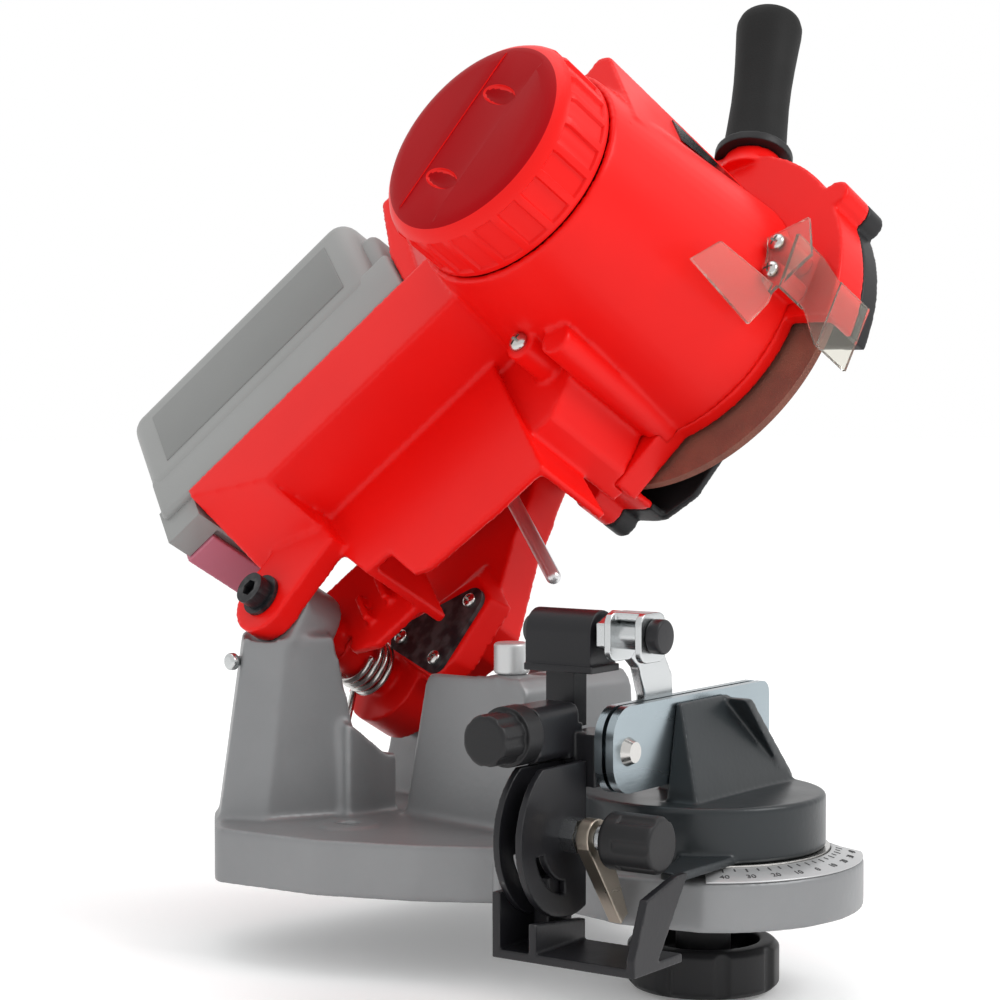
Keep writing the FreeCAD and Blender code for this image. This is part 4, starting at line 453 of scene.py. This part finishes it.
# ---- modelling by operators
class Bench:
    """Short names for the modelling operators, in object and edit mode."""

    @staticmethod
    def clear() -> None:
        """Deselects every object."""
        bpy.ops.object.select_all(action="DESELECT")

    @staticmethod
    def take(piece: Piece) -> Piece:
        """Selects one object alone and makes it active.

        Args:
            piece: the object.

        Returns:
            The same object.
        """
        Bench.clear()
        piece.select_set(True)
        bpy.context.view_layer.objects.active = piece
        return piece

    @staticmethod
    def settle(piece: Piece, name: str, place: Matrix) -> Piece:
        """Carries a piece into the row frame and puts its place into its mesh.

        Args:
            piece: an object modelled in the frame's own coordinates, in metres.
            name: the piece's name.
            place: the frame that it was modelled in.

        Returns:
            The piece, with its object at the origin.
        """
        Bench.take(piece)
        piece.matrix_world = place @ piece.matrix_world
        bpy.ops.object.transform_apply()
        piece.name = name
        piece.data.name = name
        return piece

    @staticmethod
    def turned(profile: Sequence[tuple[float, float]], segments: int = 64) -> Piece:
        """Models a body of revolution about Z by extruding a ring along its profile.

        Args:
            profile: (radius, height) pairs in millimetres, from the bottom up.
            segments: facets round the body.

        Returns:
            The closed body.
        """
        radius, height = profile[0]
        Bench.clear()
        bpy.ops.mesh.primitive_circle_add(vertices=segments, radius=radius * MM, fill_type="NGON",
                                          location=(0, 0, height * MM))
        piece = bpy.context.object
        bpy.ops.object.transform_apply()
        bpy.ops.object.mode_set(mode="EDIT")
        bpy.ops.mesh.select_all(action="SELECT")
        for next_radius, next_height in profile[1:]:
            bpy.ops.mesh.extrude_region_move(
                TRANSFORM_OT_translate={"value": (0, 0, (next_height - height) * MM)})
            factor = next_radius / radius
            bpy.ops.transform.resize(value=(factor, factor, 1), center_override=(0, 0, next_height * MM))
            radius, height = next_radius, next_height
        bpy.ops.mesh.select_all(action="SELECT")
        bpy.ops.mesh.normals_make_consistent(inside=False)
        bpy.ops.object.mode_set(mode="OBJECT")
        return piece

    @staticmethod
    def block(low: Sequence[float], high: Sequence[float]) -> Piece:
        """Adds a block between two corners.

        Args:
            low: the corner with the lowest coordinates, in millimetres.
            high: the corner with the highest.

        Returns:
            The block.
        """
        centre = [(a + b) / 2 * MM for a, b in zip(low, high)]
        Bench.clear()
        bpy.ops.mesh.primitive_cube_add(size=1, location=centre)
        piece = bpy.context.object
        piece.scale = [(b - a) * MM for a, b in zip(low, high)]
        bpy.ops.object.transform_apply()
        return piece

    @staticmethod
    def pick_faces(piece: Piece, wanted: Callable[[Vector, Vector], bool]) -> None:
        """Selects some faces and leaves the piece in edit mode.

        Args:
            piece: the object.
            wanted: the test of a face's centre and normal.
        """
        Bench.take(piece)
        bpy.context.tool_settings.mesh_select_mode = (False, False, True)
        bpy.ops.object.mode_set(mode="EDIT")
        bpy.ops.mesh.select_all(action="DESELECT")
        bpy.ops.object.mode_set(mode="OBJECT")
        for polygon in piece.data.polygons:
            polygon.select = wanted(polygon.center, polygon.normal)
        bpy.ops.object.mode_set(mode="EDIT")

    @staticmethod
    def modifier(piece: Piece, kind: str, **values: object) -> None:
        """Adds a modifier and applies it.

        Args:
            piece: the object.
            kind: the modifier's type.
            **values: its settings by name.
        """
        Bench.take(piece)
        bpy.ops.object.modifier_add(type=kind)
        added = piece.modifiers[-1]
        for label, value in values.items():
            setattr(added, label, value)
        bpy.ops.object.modifier_apply(modifier=added.name)

    @staticmethod
    def eased(piece: Piece, width: float, segments: int = 3, angle: float = 40.0) -> None:
        """Rounds the sharp edges and smooths what is round.

        Args:
            piece: the object.
            width: width of the rounding in millimetres.
            segments: facets across it.
            angle: the least angle of a sharp edge, in degrees.
        """
        Bench.modifier(piece, "BEVEL", width=width * MM, segments=segments, limit_method="ANGLE",
                       angle_limit=math.radians(angle))
        Bench.take(piece)
        bpy.ops.object.shade_smooth_by_angle(angle=math.radians(angle))

    @staticmethod
    def joined(pieces: Sequence[Piece]) -> Piece:
        """Joins several objects into the first.

        Args:
            pieces: the objects.

        Returns:
            The first object, with all the meshes.
        """
        Bench.clear()
        for piece in pieces:
            piece.select_set(True)
        bpy.context.view_layer.objects.active = pieces[0]
        bpy.ops.object.join()
        return pieces[0]

    @staticmethod
    def carved(piece: Piece, cutter: Piece) -> None:
        """Cuts one closed body out of another and removes the cutter.

        Args:
            piece: the body that is cut.
            cutter: the body that is taken away.
        """
        Bench.take(piece)
        bpy.ops.object.modifier_add(type="BOOLEAN")
        cut = piece.modifiers[-1]
        cut.operation = "DIFFERENCE"
        cut.solver = "EXACT"
        cut.object = cutter
        bpy.ops.object.modifier_apply(modifier=cut.name)
        bpy.data.objects.remove(cutter)

    @staticmethod
    def softened(node: str, voxel: float, rounds: int) -> Piece:
        """Models a moulded or cast body from its solid, with every edge flowing into the next.

        Args:
            node: the CAD node whose merged copy is reshaped.
            voxel: size of the new mesh's cells in millimetres.
            rounds: rounds of smoothing that ease the edges.

        Returns:
            The reshaped body.
        """
        source = frame["nodes"][node]
        piece = bpy.data.objects.new(node + "_body", source.data.copy())
        bpy.context.scene.collection.objects.link(piece)
        Bench.take(piece)
        bpy.ops.object.mode_set(mode="EDIT")
        bpy.ops.mesh.select_all(action="SELECT")
        bpy.ops.mesh.remove_doubles(threshold=WELD_GAP)
        bpy.ops.object.mode_set(mode="OBJECT")
        layers = piece.data.attributes
        for name in ("custom_normal", "sharp_face", "sharp_edge"):
            if name in layers:
                layers.remove(layers[name])
        piece.data.remesh_voxel_size = voxel * MM
        bpy.ops.object.voxel_remesh()
        Bench.modifier(piece, "SMOOTH", factor=0.5, iterations=rounds)
        share = MOST_TRIANGLES / (2 * len(piece.data.polygons))
        if share < 1:
            Bench.modifier(piece, "DECIMATE", ratio=share)
        Bench.take(piece)
        bpy.ops.object.shade_smooth()
        return piece


def dressed(piece: Piece, finish: Finish) -> Piece:
    """Gives a piece one finish all over.

    Args:
        piece: the piece.
        finish: its finish.

    Returns:
        The piece.
    """
    piece.data.materials.clear()
    piece.data.materials.append(finish.material())
    return piece


def mounted(piece: Piece, finish: Finish, body: str, slot: str, *nodes: str) -> Piece:
    """Finishes a settled piece and ties it to its body.

    Args:
        piece: the piece, already in the row frame.
        finish: its finish.
        body: the CAD body that it rides on.
        slot: the record's material slot; it is not used.
        *nodes: the CAD nodes that it stands for.

    Returns:
        The piece.
    """
    dressed(piece, finish)
    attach(piece, body)
    if nodes:
        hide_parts(*nodes)
    LOG.info("%s rides on %s", piece.name, body)
    return piece


def dress_nodes() -> None:
    """Gives every carried CAD node its finish, and smooth shading between its sharp edges."""
    for node, finish in FINISH_OF.items():
        carried = dressed(frame["nodes"][node], finish)
        carried.data.polygons.foreach_set("use_smooth", [True] * len(carried.data.polygons))
        weld = carried.modifiers.new("Weld", "WELD")
        weld.merge_threshold = WELD_GAP
        split = carried.modifiers.new("EdgeSplit", "EDGE_SPLIT")
        split.split_angle = math.radians(SHARP_ANGLE)


# ---- the studio
@dataclass(frozen=True)
class SoftLight:
    """A soft square light: its place and side in metres, its power in watts."""

    name: str
    place: Point
    side: float
    power: float

    def hang(self, target: Point) -> None:
        """Hangs the light.

        Args:
            target: the point that it is aimed at, in metres.
        """
        data = bpy.data.lights.new(self.name, "AREA")
        data.shape = "SQUARE"
        data.size = self.side
        data.energy = self.power
        light = bpy.data.objects.new(self.name, data)
        bpy.context.scene.collection.objects.link(light)
        light.location = self.place
        aim = Vector(target) - Vector(self.place)
        light.rotation_euler = aim.to_track_quat("-Z", "Y").to_euler()


@dataclass
class Studio:
    """Camera, pale floor, white room and soft lights, in metres."""

    camera_at: Point = (-0.6321, -0.7004, 0.1788)
    looking: Point = (0.6786, 0.7328, -0.0366)
    lens: float = 85.0
    floor_size: float = 30.0
    floor_height: float = -0.0295
    floor_grey: Colour = (0.93, 0.93, 0.93)
    floor_glow: float = 0.15
    room_light: float = 0.92
    middle: Point = (0.0, -0.05, 0.15)
    lights: tuple[SoftLight, ...] = (SoftLight("key light", (0.5, -1.2, 1.2), 0.8, 11.0),
                                     SoftLight("top light", (0.1, 0.2, 1.5), 0.9, 3.0))

    def build(self) -> None:
        """Sets up camera, backdrop, world and lights."""
        self.add_camera()
        self.add_floor()
        self.add_world()
        for light in self.lights:
            light.hang(self.middle)
        scene = bpy.context.scene
        scene.view_settings.view_transform = "Standard"
        scene.view_settings.look = "None"

    def add_camera(self) -> None:
        """Places the camera."""
        data = bpy.data.cameras.new("camera")
        data.lens = self.lens
        data.sensor_width = 36.0
        data.clip_start = 0.01
        camera = bpy.data.objects.new("camera", data)
        bpy.context.scene.collection.objects.link(camera)
        camera.location = self.camera_at
        camera.rotation_euler = Vector(self.looking).to_track_quat("-Z", "Y").to_euler()
        bpy.context.scene.camera = camera

    def add_floor(self) -> None:
        """Lays the pale floor."""
        Bench.clear()
        bpy.ops.mesh.primitive_plane_add(size=self.floor_size, location=(0, 0, self.floor_height))
        floor = bpy.context.object
        floor.name = "floor"
        paint = bpy.data.materials.new("pale floor")
        paint.use_nodes = True
        shader = paint.node_tree.nodes["Principled BSDF"]
        values = {"Base Color": (*self.floor_grey, 1.0), "Roughness": 0.9, "Specular IOR Level": 0.0,
                  "Emission Color": (1.0, 1.0, 1.0, 1.0), "Emission Strength": self.floor_glow}
        for label, value in values.items():
            shader.inputs[label].default_value = value
        floor.data.materials.append(paint)

    def add_world(self) -> None:
        """Fills the room with even white light, seen as plain white behind the object."""
        world = bpy.data.worlds.new("white room")
        world.use_nodes = True
        tree = world.node_tree
        background = tree.nodes["Background"]
        background.inputs["Color"].default_value = (1.0, 1.0, 1.0, 1.0)
        path = tree.nodes.new("ShaderNodeLightPath")
        strength = tree.nodes.new("ShaderNodeMapRange")
        strength.inputs["To Min"].default_value = self.room_light
        strength.inputs["To Max"].default_value = 1.0
        tree.links.new(path.outputs["Is Camera Ray"], strength.inputs["Value"])
        tree.links.new(strength.outputs["Result"], background.inputs["Strength"])
        bpy.context.scene.world = world


# ---- sub-assemblies
@dataclass(frozen=True)
class Moulding:
    """One body whose edges are eased all over, by its cell size in millimetres and its rounds of smoothing."""

    node: str
    body: str
    slot: str
    voxel: float
    rounds: int

    def build(self) -> Piece:
        """Models and dresses the body."""
        piece = Bench.softened(self.node, self.voxel, self.rounds)
        return mounted(piece, FINISH_OF[self.node], self.body, self.slot, self.node)


@dataclass
class BaseAssembly:
    """The cast base with its rest post and the band that carries the angle scale."""

    mouldings: tuple[Moulding, ...] = (Moulding("base_casting", "base", "casting", 1.5, 9),
                                       Moulding("rest_post", "base", "post_grey", 0.5, 6))
    band_inner: float = 45.9
    band_outer: float = 57.3
    band_low: float = 19.8
    band_high: float = 22.9
    band_rim: float = 0.5
    band_land: float = 0.6
    band_rounding: float = 0.35
    band_facets: int = 128
    cut_reach: float = 100.0
    cut_height: float = 40.0
    half_angle: float = 47.0
    tick_step: int = 5
    tick_radius: float = 48.6
    tick_width: float = 0.25
    tick_long: float = 1.2
    tick_short: float = 0.6
    number_step: int = 10
    number_limit: int = 40
    number_radius: float = 53.4
    number_size: float = 3.6
    ink_height: float = 0.12
    ink_depth: float = 0.1
    ink_lift: float = 0.02

    def build(self) -> None:
        """Builds the casting, the rest post and the scale."""
        for moulding in self.mouldings:
            moulding.build()
        self.add_band()
        self.add_marks()

    def centre(self) -> Matrix:
        """Returns the scale's frame: origin on the vise axis at the bench plane, unturned."""
        pivot = Vector(joint_entry("vise_turn")["pos_m"])
        return Matrix.Translation((pivot.x, pivot.y, 0))

    def add_band(self) -> None:
        """Adds the sloping band round the turntable that carries the scale."""
        reach, height = self.cut_reach, self.cut_height
        profile = [(self.band_outer, self.band_low), (self.band_outer, self.band_low + self.band_rim),
                   (self.band_inner + self.band_land, self.band_high)]
        ring = Bench.turned(profile, self.band_facets)
        hole = Bench.turned([(self.band_inner, 0), (self.band_inner, height)], self.band_facets)
        Bench.carved(ring, hole)
        for side in (-1, 1):
            wedge = Bench.block((0, -reach, 0), (2 * reach, reach, height))
            turn = Matrix.Rotation(math.radians(-90 + side * (self.half_angle + 90)), 4, "Z")
            Bench.settle(wedge, "wedge", turn)
            Bench.carved(ring, wedge)
        Bench.eased(ring, self.band_rounding, 2)
        Bench.settle(ring, "scale_band", self.centre())
        mounted(ring, FLANGE_SILVER, "base", "casting")

    def slope(self) -> float:
        """Returns the band's slope in radians."""
        return math.atan2(self.band_high - self.band_low - self.band_rim,
                          self.band_outer - self.band_inner - self.band_land)

    def mark_place(self, angle: float, radius: float) -> Matrix:
        """Works out the place of a mark on the band, with its top away from the turntable.

        Args:
            angle: degrees from the middle of the scale.
            radius: distance from the turntable's axis in millimetres.

        Returns:
            The mark's place in the scale's frame.
        """
        rise = (self.band_outer - radius) * math.tan(self.slope()) + self.band_low + self.band_rim
        turn = Matrix.Rotation(math.radians(angle), 4, "Z")
        out = Matrix.Translation((0, -radius * MM, (rise + self.ink_lift) * MM))
        return turn @ out @ Matrix.Rotation(self.slope(), 4, "X")

    def add_marks(self) -> None:
        """Adds the ticks and plain numbers of the angle scale."""
        marks = []
        for angle in range(-self.number_limit, self.number_limit + 1, self.tick_step):
            numbered = angle % self.number_step == 0
            inner = self.tick_long if numbered else self.tick_short
            tick = Bench.block((-self.tick_width, -inner, -self.ink_depth),
                               (self.tick_width, self.tick_long, self.ink_height))
            Bench.settle(tick, "tick", self.mark_place(angle, self.tick_radius))
            marks.append(tick)
            if numbered:
                marks.append(self.number(str(abs(angle)), self.mark_place(angle, self.number_radius)))
        scale = Bench.joined(marks)
        Bench.settle(scale, "scale_marks", self.centre())
        mounted(scale, INK, "base", "black_metal")

    def number(self, text: str, place: Matrix) -> Piece:
        """Makes one plain number of the scale.

        Args:
            text: the number.
            place: where it stands.

        Returns:
            The number as a mesh.
        """
        Bench.clear()
        bpy.ops.object.text_add()
        label = bpy.context.object
        label.data.body = text
        label.data.align_x = "CENTER"
        label.data.align_y = "CENTER"
        label.data.size = self.number_size * MM
        label.data.extrude = self.ink_height * MM
        bpy.ops.object.convert(target="MESH")
        return Bench.settle(bpy.context.object, "number", place)


@dataclass
class EndCap:
    """The fluted red cap over the motor's rear end; the shoulder's steps go inwards and down from its rim."""

    low: float = 112.05
    high: float = 138.9
    radius: float = 45.0
    lip: float = 0.8
    shoulder: Profile = ((2.5, 3.0), (4.8, 1.2), (7.6, 0.3), (10.5, 0.0))
    face_depth: float = 4.5
    columns: int = 96
    flute: int = 4
    flute_from: float = 115.0
    flute_to: float = 133.0
    flute_depth: float = 1.3
    flute_edge: float = 0.45
    rounding: float = 0.35
    round_angle: float = 35.0
    smooth_angle: float = 45.0
    band_half: float = 12.0
    band_turn: float = 20.7
    band_reach: float = 60.0
    band_depth: float = 0.5
    scoop_at: float = 19.0
    scoop: Point = (4.2, 10.5, 3.2)

    def build(self) -> None:
        """Models the cap from a turned body, its flutes and the finger recess in its top."""
        rim = self.radius
        wall = [(rim - self.lip, self.low), (rim, self.low + self.lip), (rim, self.flute_from),
                (rim, self.flute_to - 1.5), (rim - 0.9, self.flute_to + 0.8)]
        top = [(rim - inwards, self.high - down) for inwards, down in self.shoulder]
        cap = Bench.turned(wall + top, self.columns)
        self.cut_flutes(cap)
        self.cut_top(cap)
        Bench.modifier(cap, "BEVEL", width=self.rounding * MM, segments=2, limit_method="ANGLE",
                       angle_limit=math.radians(self.round_angle))
        Bench.take(cap)
        bpy.ops.object.shade_smooth_by_angle(angle=math.radians(self.smooth_angle))
        Bench.settle(cap, "end_cap_shell", HEAD)
        mounted(cap, RED, "head", "red_shell", "motor_end_cap")
        # The cap's second material is a darker red, painted shade for its outer face.
        cap.data.materials.append(CAP_RED_PAINTED_SHADE.material())
        self.mark_face(cap)

    def mark_face(self, cap: Piece) -> None:
        """Gives the cap's outer face a darker red: painted shade on the face that turns from the light.

        Args:
            cap: the settled cap, with its red finish and the darker red of painted shade.
        """
        axis = HEAD.to_3x3().col[2]
        face_from = (self.high - self.face_depth) * MM
        for polygon in cap.data.polygons:
            height = (HEAD.inverted() @ polygon.center).z
            # Faces along the cap's axis near its top take the darker red of painted shade.
            polygon.material_index = int(polygon.normal.dot(axis) > 0.8 and height > face_from)

    def cut_flutes(self, cap: Piece) -> None:
        """Sinks the broad flutes between their narrow ridges.

        Args:
            cap: the turned body.
        """
        def in_flute(centre: Vector, normal: Vector) -> bool:
            """Tells whether a face of the wall lies in a flute.

            Args:
                centre: the face's centre.
                normal: its normal, which isn't needed.

            Returns:
                True for a face that is sunk.
            """
            angle = math.degrees(math.atan2(centre.y, centre.x)) % 360
            column = int(math.floor(angle / (360 / self.columns)))
            tall = self.flute_from * MM < centre.z < (self.flute_to + 0.3) * MM
            outer = math.hypot(centre.x, centre.y) > (self.radius - 2) * MM
            return column % self.flute != 0 and tall and outer
        Bench.pick_faces(cap, in_flute)
        bpy.ops.mesh.inset(thickness=self.flute_edge * MM, depth=-self.flute_depth * MM)
        bpy.ops.object.mode_set(mode="OBJECT")

    def cut_top(self, cap: Piece) -> None:
        """Sinks the shallow band across the top and the two finger scoops in it.

        Args:
            cap: the fluted body.
        """
        turn = Matrix.Rotation(math.radians(self.band_turn), 4, "Z")
        band = Bench.block((-self.band_reach, -self.band_half, self.high - self.band_depth),
                           (self.band_reach, self.band_half, self.high + 5))
        Bench.settle(band, "band", turn)
        Bench.carved(cap, band)
        for side in (-1, 1):
            Bench.clear()
            bpy.ops.mesh.primitive_uv_sphere_add(segments=48, ring_count=24, radius=1,
                                                 location=(side * self.scoop_at * MM, 0, self.high * MM))
            scoop = bpy.context.object
            scoop.scale = [radius * MM for radius in self.scoop]
            Bench.settle(scoop, "scoop", turn)
            Bench.carved(cap, scoop)


@dataclass
class BatteryPack:
    """The slide-on battery pack: its shell, latch step, hook and side panels, in the head's frame."""

    start: float = -205.9
    end: float = -65.1
    low: float = 22.4
    high: float = 94.2
    near: float = 28.1
    far: float = 99.9
    inset: float = 0.5
    rounding: float = 8.5
    body_rise: float = 15.0
    body_end: float = 9.0
    foot_start: float = 2.0
    foot_top: float = 26.0
    foot_inset: float = 1.2
    step_start: float = 24.0
    step_rise: float = 12.0
    step_inset: float = 7.0
    step_end: float = 2.5
    step_drop: float = 17.0
    hook_end: float = -188.1
    hook_low: float = 10.1
    hook_near: float = 8.0
    hook_far: float = 4.1
    hook_top: float = 8.0
    key_near: float = 44.0
    key_far: float = 84.0
    key_low: float = 8.0
    key_over: float = 3.0
    pocket_end: float = -199.0
    pocket_top: float = 34.0
    recess_end: float = -189.5
    recess_top: float = 12.4
    panel_start: float = 14.0
    panel_rise: float = 27.0
    panel_end: float = 22.0
    panel_drop: float = 12.0

    def build(self) -> None:
        """Models the shell from its bodies, then the side panels."""
        shell = Bench.joined([self.body(), self.rail_foot(), self.latch_step(), self.hook()])
        Bench.settle(shell, "battery_shell", HEAD)
        mounted(shell, BATTERY_GREY, "battery", "grey_plastic", "battery_case")
        self.add_panels()

    def body(self) -> Piece:
        """Models the rounded main body.

        Returns:
            The body in the head's coordinates.
        """
        shell = Bench.block((self.start, self.low + self.body_rise, self.near + self.inset),
                            (self.end - self.body_end, self.high, self.far - self.inset))
        Bench.eased(shell, self.rounding, 6)
        return shell

    def rail_foot(self) -> Piece:
        """Models the narrower foot that slides on the platform.

        Returns:
            The foot in the head's coordinates.
        """
        foot = Bench.block((self.start + self.foot_start, self.low, self.near + self.foot_inset),
                           (self.end, self.low + self.foot_top, self.far - self.foot_inset))
        Bench.eased(foot, 2.2, 3)
        return foot

    def latch_step(self) -> Piece:
        """Models the lower step at the pack's upper end.

        Returns:
            The step in the head's coordinates.
        """
        step = Bench.block(
            (self.end - self.step_start, self.low + self.step_rise, self.near + self.step_inset),
            (self.end - self.step_end, self.high - self.step_drop, self.far - self.step_inset))
        Bench.eased(step, 4.5, 4)
        return step

    def hook(self) -> Piece:
        """Models the hook below the foot, with the release key's pocket and recess.

        Returns:
            The hook in the head's coordinates.
        """
        hook = Bench.block((self.start, self.hook_low, self.near + self.hook_near),
                           (self.hook_end, self.low + self.hook_top, self.far - self.hook_far))
        corner = (self.start - self.key_over, self.key_low, self.key_near)
        for end, top in ((self.pocket_end, self.pocket_top), (self.recess_end, self.recess_top)):
            Bench.carved(hook, Bench.block(corner, (end, top, self.key_far)))
        Bench.eased(hook, 0.8, 2)
        return hook

    def add_panels(self) -> None:
        """Adds the darker inlaid panels on the pack's two broad sides."""
        thick = 3 * self.inset
        for low, name in ((self.far - thick, "battery_panel_outer"), (self.near, "battery_panel_inner")):
            panel = Bench.block(
                (self.start + self.panel_start, self.low + self.panel_rise, low),
                (self.end - self.panel_end, self.high - self.panel_drop, low + thick))
            Bench.eased(panel, self.inset, 3)
            Bench.settle(panel, name, HEAD)
            mounted(panel, BATTERY_DARK, "battery", "grey_plastic")


@dataclass
class Handle:
    """The waisted rubber grip: its lean and seat, then the radius and height of each ring."""

    angle: float = 56.0
    seat_radius: float = 80.0
    seat_angle: float = 40.0
    rings: Profile = (
        (13.4, 6.2), (13.6, 7.4), (13.2, 9.0), (12.7, 20.0), (12.3, 33.0), (12.4, 44.0), (12.9, 55.0),
        (13.6, 66.0), (14.1, 73.0), (14.1, 76.5), (13.3, 79.2), (11.8, 80.6), (9.5, 80.9))

    def build(self) -> None:
        """Models the grip as a turned body on the handle's axis."""
        grip = Bench.turned(self.rings, 72)
        Bench.eased(grip, 0.4, 2, 50)
        seat, reach = math.radians(self.seat_angle), self.seat_radius * MM
        place = Matrix.Translation((reach * math.cos(seat), reach * math.sin(seat), 0))
        turn = Matrix.Rotation(math.radians(self.angle), 4, "Z") @ Matrix.Rotation(math.radians(90), 4, "Y")
        Bench.settle(grip, "rubber_grip", HEAD @ place @ turn)
        mounted(grip, RUBBER, "head", "rubber", "handle_grip")


@dataclass(frozen=True)
class CrossScrews:
    """Domed screws with cross recesses for one node; the dome's steps are parts of its radius and height."""

    node: str
    radius: float
    height: float
    spots: tuple[Point, ...]
    dome: Profile = ((0.96, 0.0), (1.0, 0.25), (0.9, 0.62), (0.66, 0.88), (0.35, 1.0))
    shank: float = 0.45
    slot_reach: float = 0.6
    slot_half: float = 0.13
    slot_low: float = 0.35
    first_turn: float = 17.0
    next_turn: float = 41.0

    def build(self) -> None:
        """Models each screw and joins them."""
        screws = [self.one(Vector(spot) * MM, turn) for turn, spot in enumerate(self.spots)]
        group = Bench.joined(screws)
        Bench.settle(group, self.node + "_heads", HEAD)
        mounted(group, STEEL, "head", "steel", self.node)

    def one(self, spot: Vector, turn: int) -> Piece:
        """Models one screw, with its cross turned its own way.

        Args:
            spot: centre of its seat in the head frame.
            turn: its number, which sets the cross's turn.

        Returns:
            The screw in the head's coordinates.
        """
        rim, top = self.radius, self.height
        shank = [(rim * self.shank, -3.0), (rim * self.shank, -0.1)]
        screw = Bench.turned(shank + [(rim * out, top * up) for out, up in self.dome], 40)
        for quarter in (0, 90):
            bar = Bench.block((-rim * self.slot_reach, -rim * self.slot_half, top * self.slot_low),
                              (rim * self.slot_reach, rim * self.slot_half, top * 2))
            Bench.settle(bar, "bar", Matrix.Rotation(math.radians(quarter), 4, "Z"))
            Bench.carved(screw, bar)
        Bench.take(screw)
        bpy.ops.object.shade_smooth_by_angle(angle=math.radians(40))
        angle = math.radians(self.first_turn + self.next_turn * turn)
        return Bench.settle(screw, "screw", Matrix.Translation(spot) @ Matrix.Rotation(angle, 4, "Z"))


@dataclass
class Head:
    """The swinging head: shells, cap, guard, handle, battery and screws."""

    mouldings: tuple[Moulding, ...] = (
        Moulding("motor_housing", "head", "red_shell", 1.2, 6),
        Moulding("guard_housing", "head", "red_shell", 1.1, 5),
        Moulding("outer_guard", "head", "black_plastic", 1.0, 5),
        Moulding("handle_core", "head", "black_plastic", 0.6, 5),
        Moulding("depth_knob", "depth_control", "black_plastic", 0.4, 5),
        Moulding("battery_release", "release", "key_red", 0.6, 6))
    screws: tuple[CrossScrews, ...] = (
        CrossScrews("pivot_cover_screws", 3.2, 2.2,
                    ((-166.4, -34.4, 13.5), (-156.9, -57.8, 13.5), (-132.4, -46.9, 13.5))),
        CrossScrews("shield_screws", 3.6, 2.4, ((52.5, -31.5, 27.6), (44.3, -41.0, 27.6))),
        CrossScrews("shell_screws", 4.0, 3.0, ((-41.0, -35.0, 80.0), (-14.0, 58.0, 34.0), (44.0, 40.0, 34.0))))

    def build(self) -> None:
        """Builds the head's pieces in order."""
        for piece in (*self.mouldings, EndCap(), BatteryPack(), Handle(), *self.screws):
            piece.build()


@dataclass
class Vise:
    """The chain vise on its turntable, with its stop, feed, clamp and lever."""

    mouldings: tuple[Moulding, ...] = (
        Moulding("vise_body", "vise", "charcoal", 0.9, 6),
        Moulding("feed_block", "vise", "black_metal", 0.6, 5),
        Moulding("front_cheek", "vise", "black_metal", 0.5, 4),
        Moulding("rear_cheek", "vise", "black_metal", 0.5, 4),
        Moulding("lower_bracket", "vise", "black_metal", 0.6, 4),
        Moulding("stop_arm", "vise", "zinc", 0.5, 6),
        Moulding("stop_bracket", "vise", "zinc", 0.45, 4),
        Moulding("stop_pawl", "chain_stop", "black_metal", 0.45, 5),
        Moulding("clamp_knob", "turntable_clamp", "black_plastic", 0.7, 6),
        Moulding("feed_knob", "feed_control", "black_plastic", 0.4, 5),
        Moulding("clamp_bolt_knob", "chain_clamp", "black_plastic", 0.4, 5),
        Moulding("chain_lever", "lever", "lever_steel", 0.4, 6))

    def build(self) -> None:
        """Builds the vise's eased bodies in order."""
        for moulding in self.mouldings:
            moulding.build()


def main() -> None:
    """Builds the studio and every sub-assembly in order."""
    logging.basicConfig(level=logging.INFO, format="%(name)s: %(message)s")
    Studio().build()
    dress_nodes()
    BaseAssembly().build()
    Head().build()
    Vise().build()


if __name__ == "__main__":
    main()
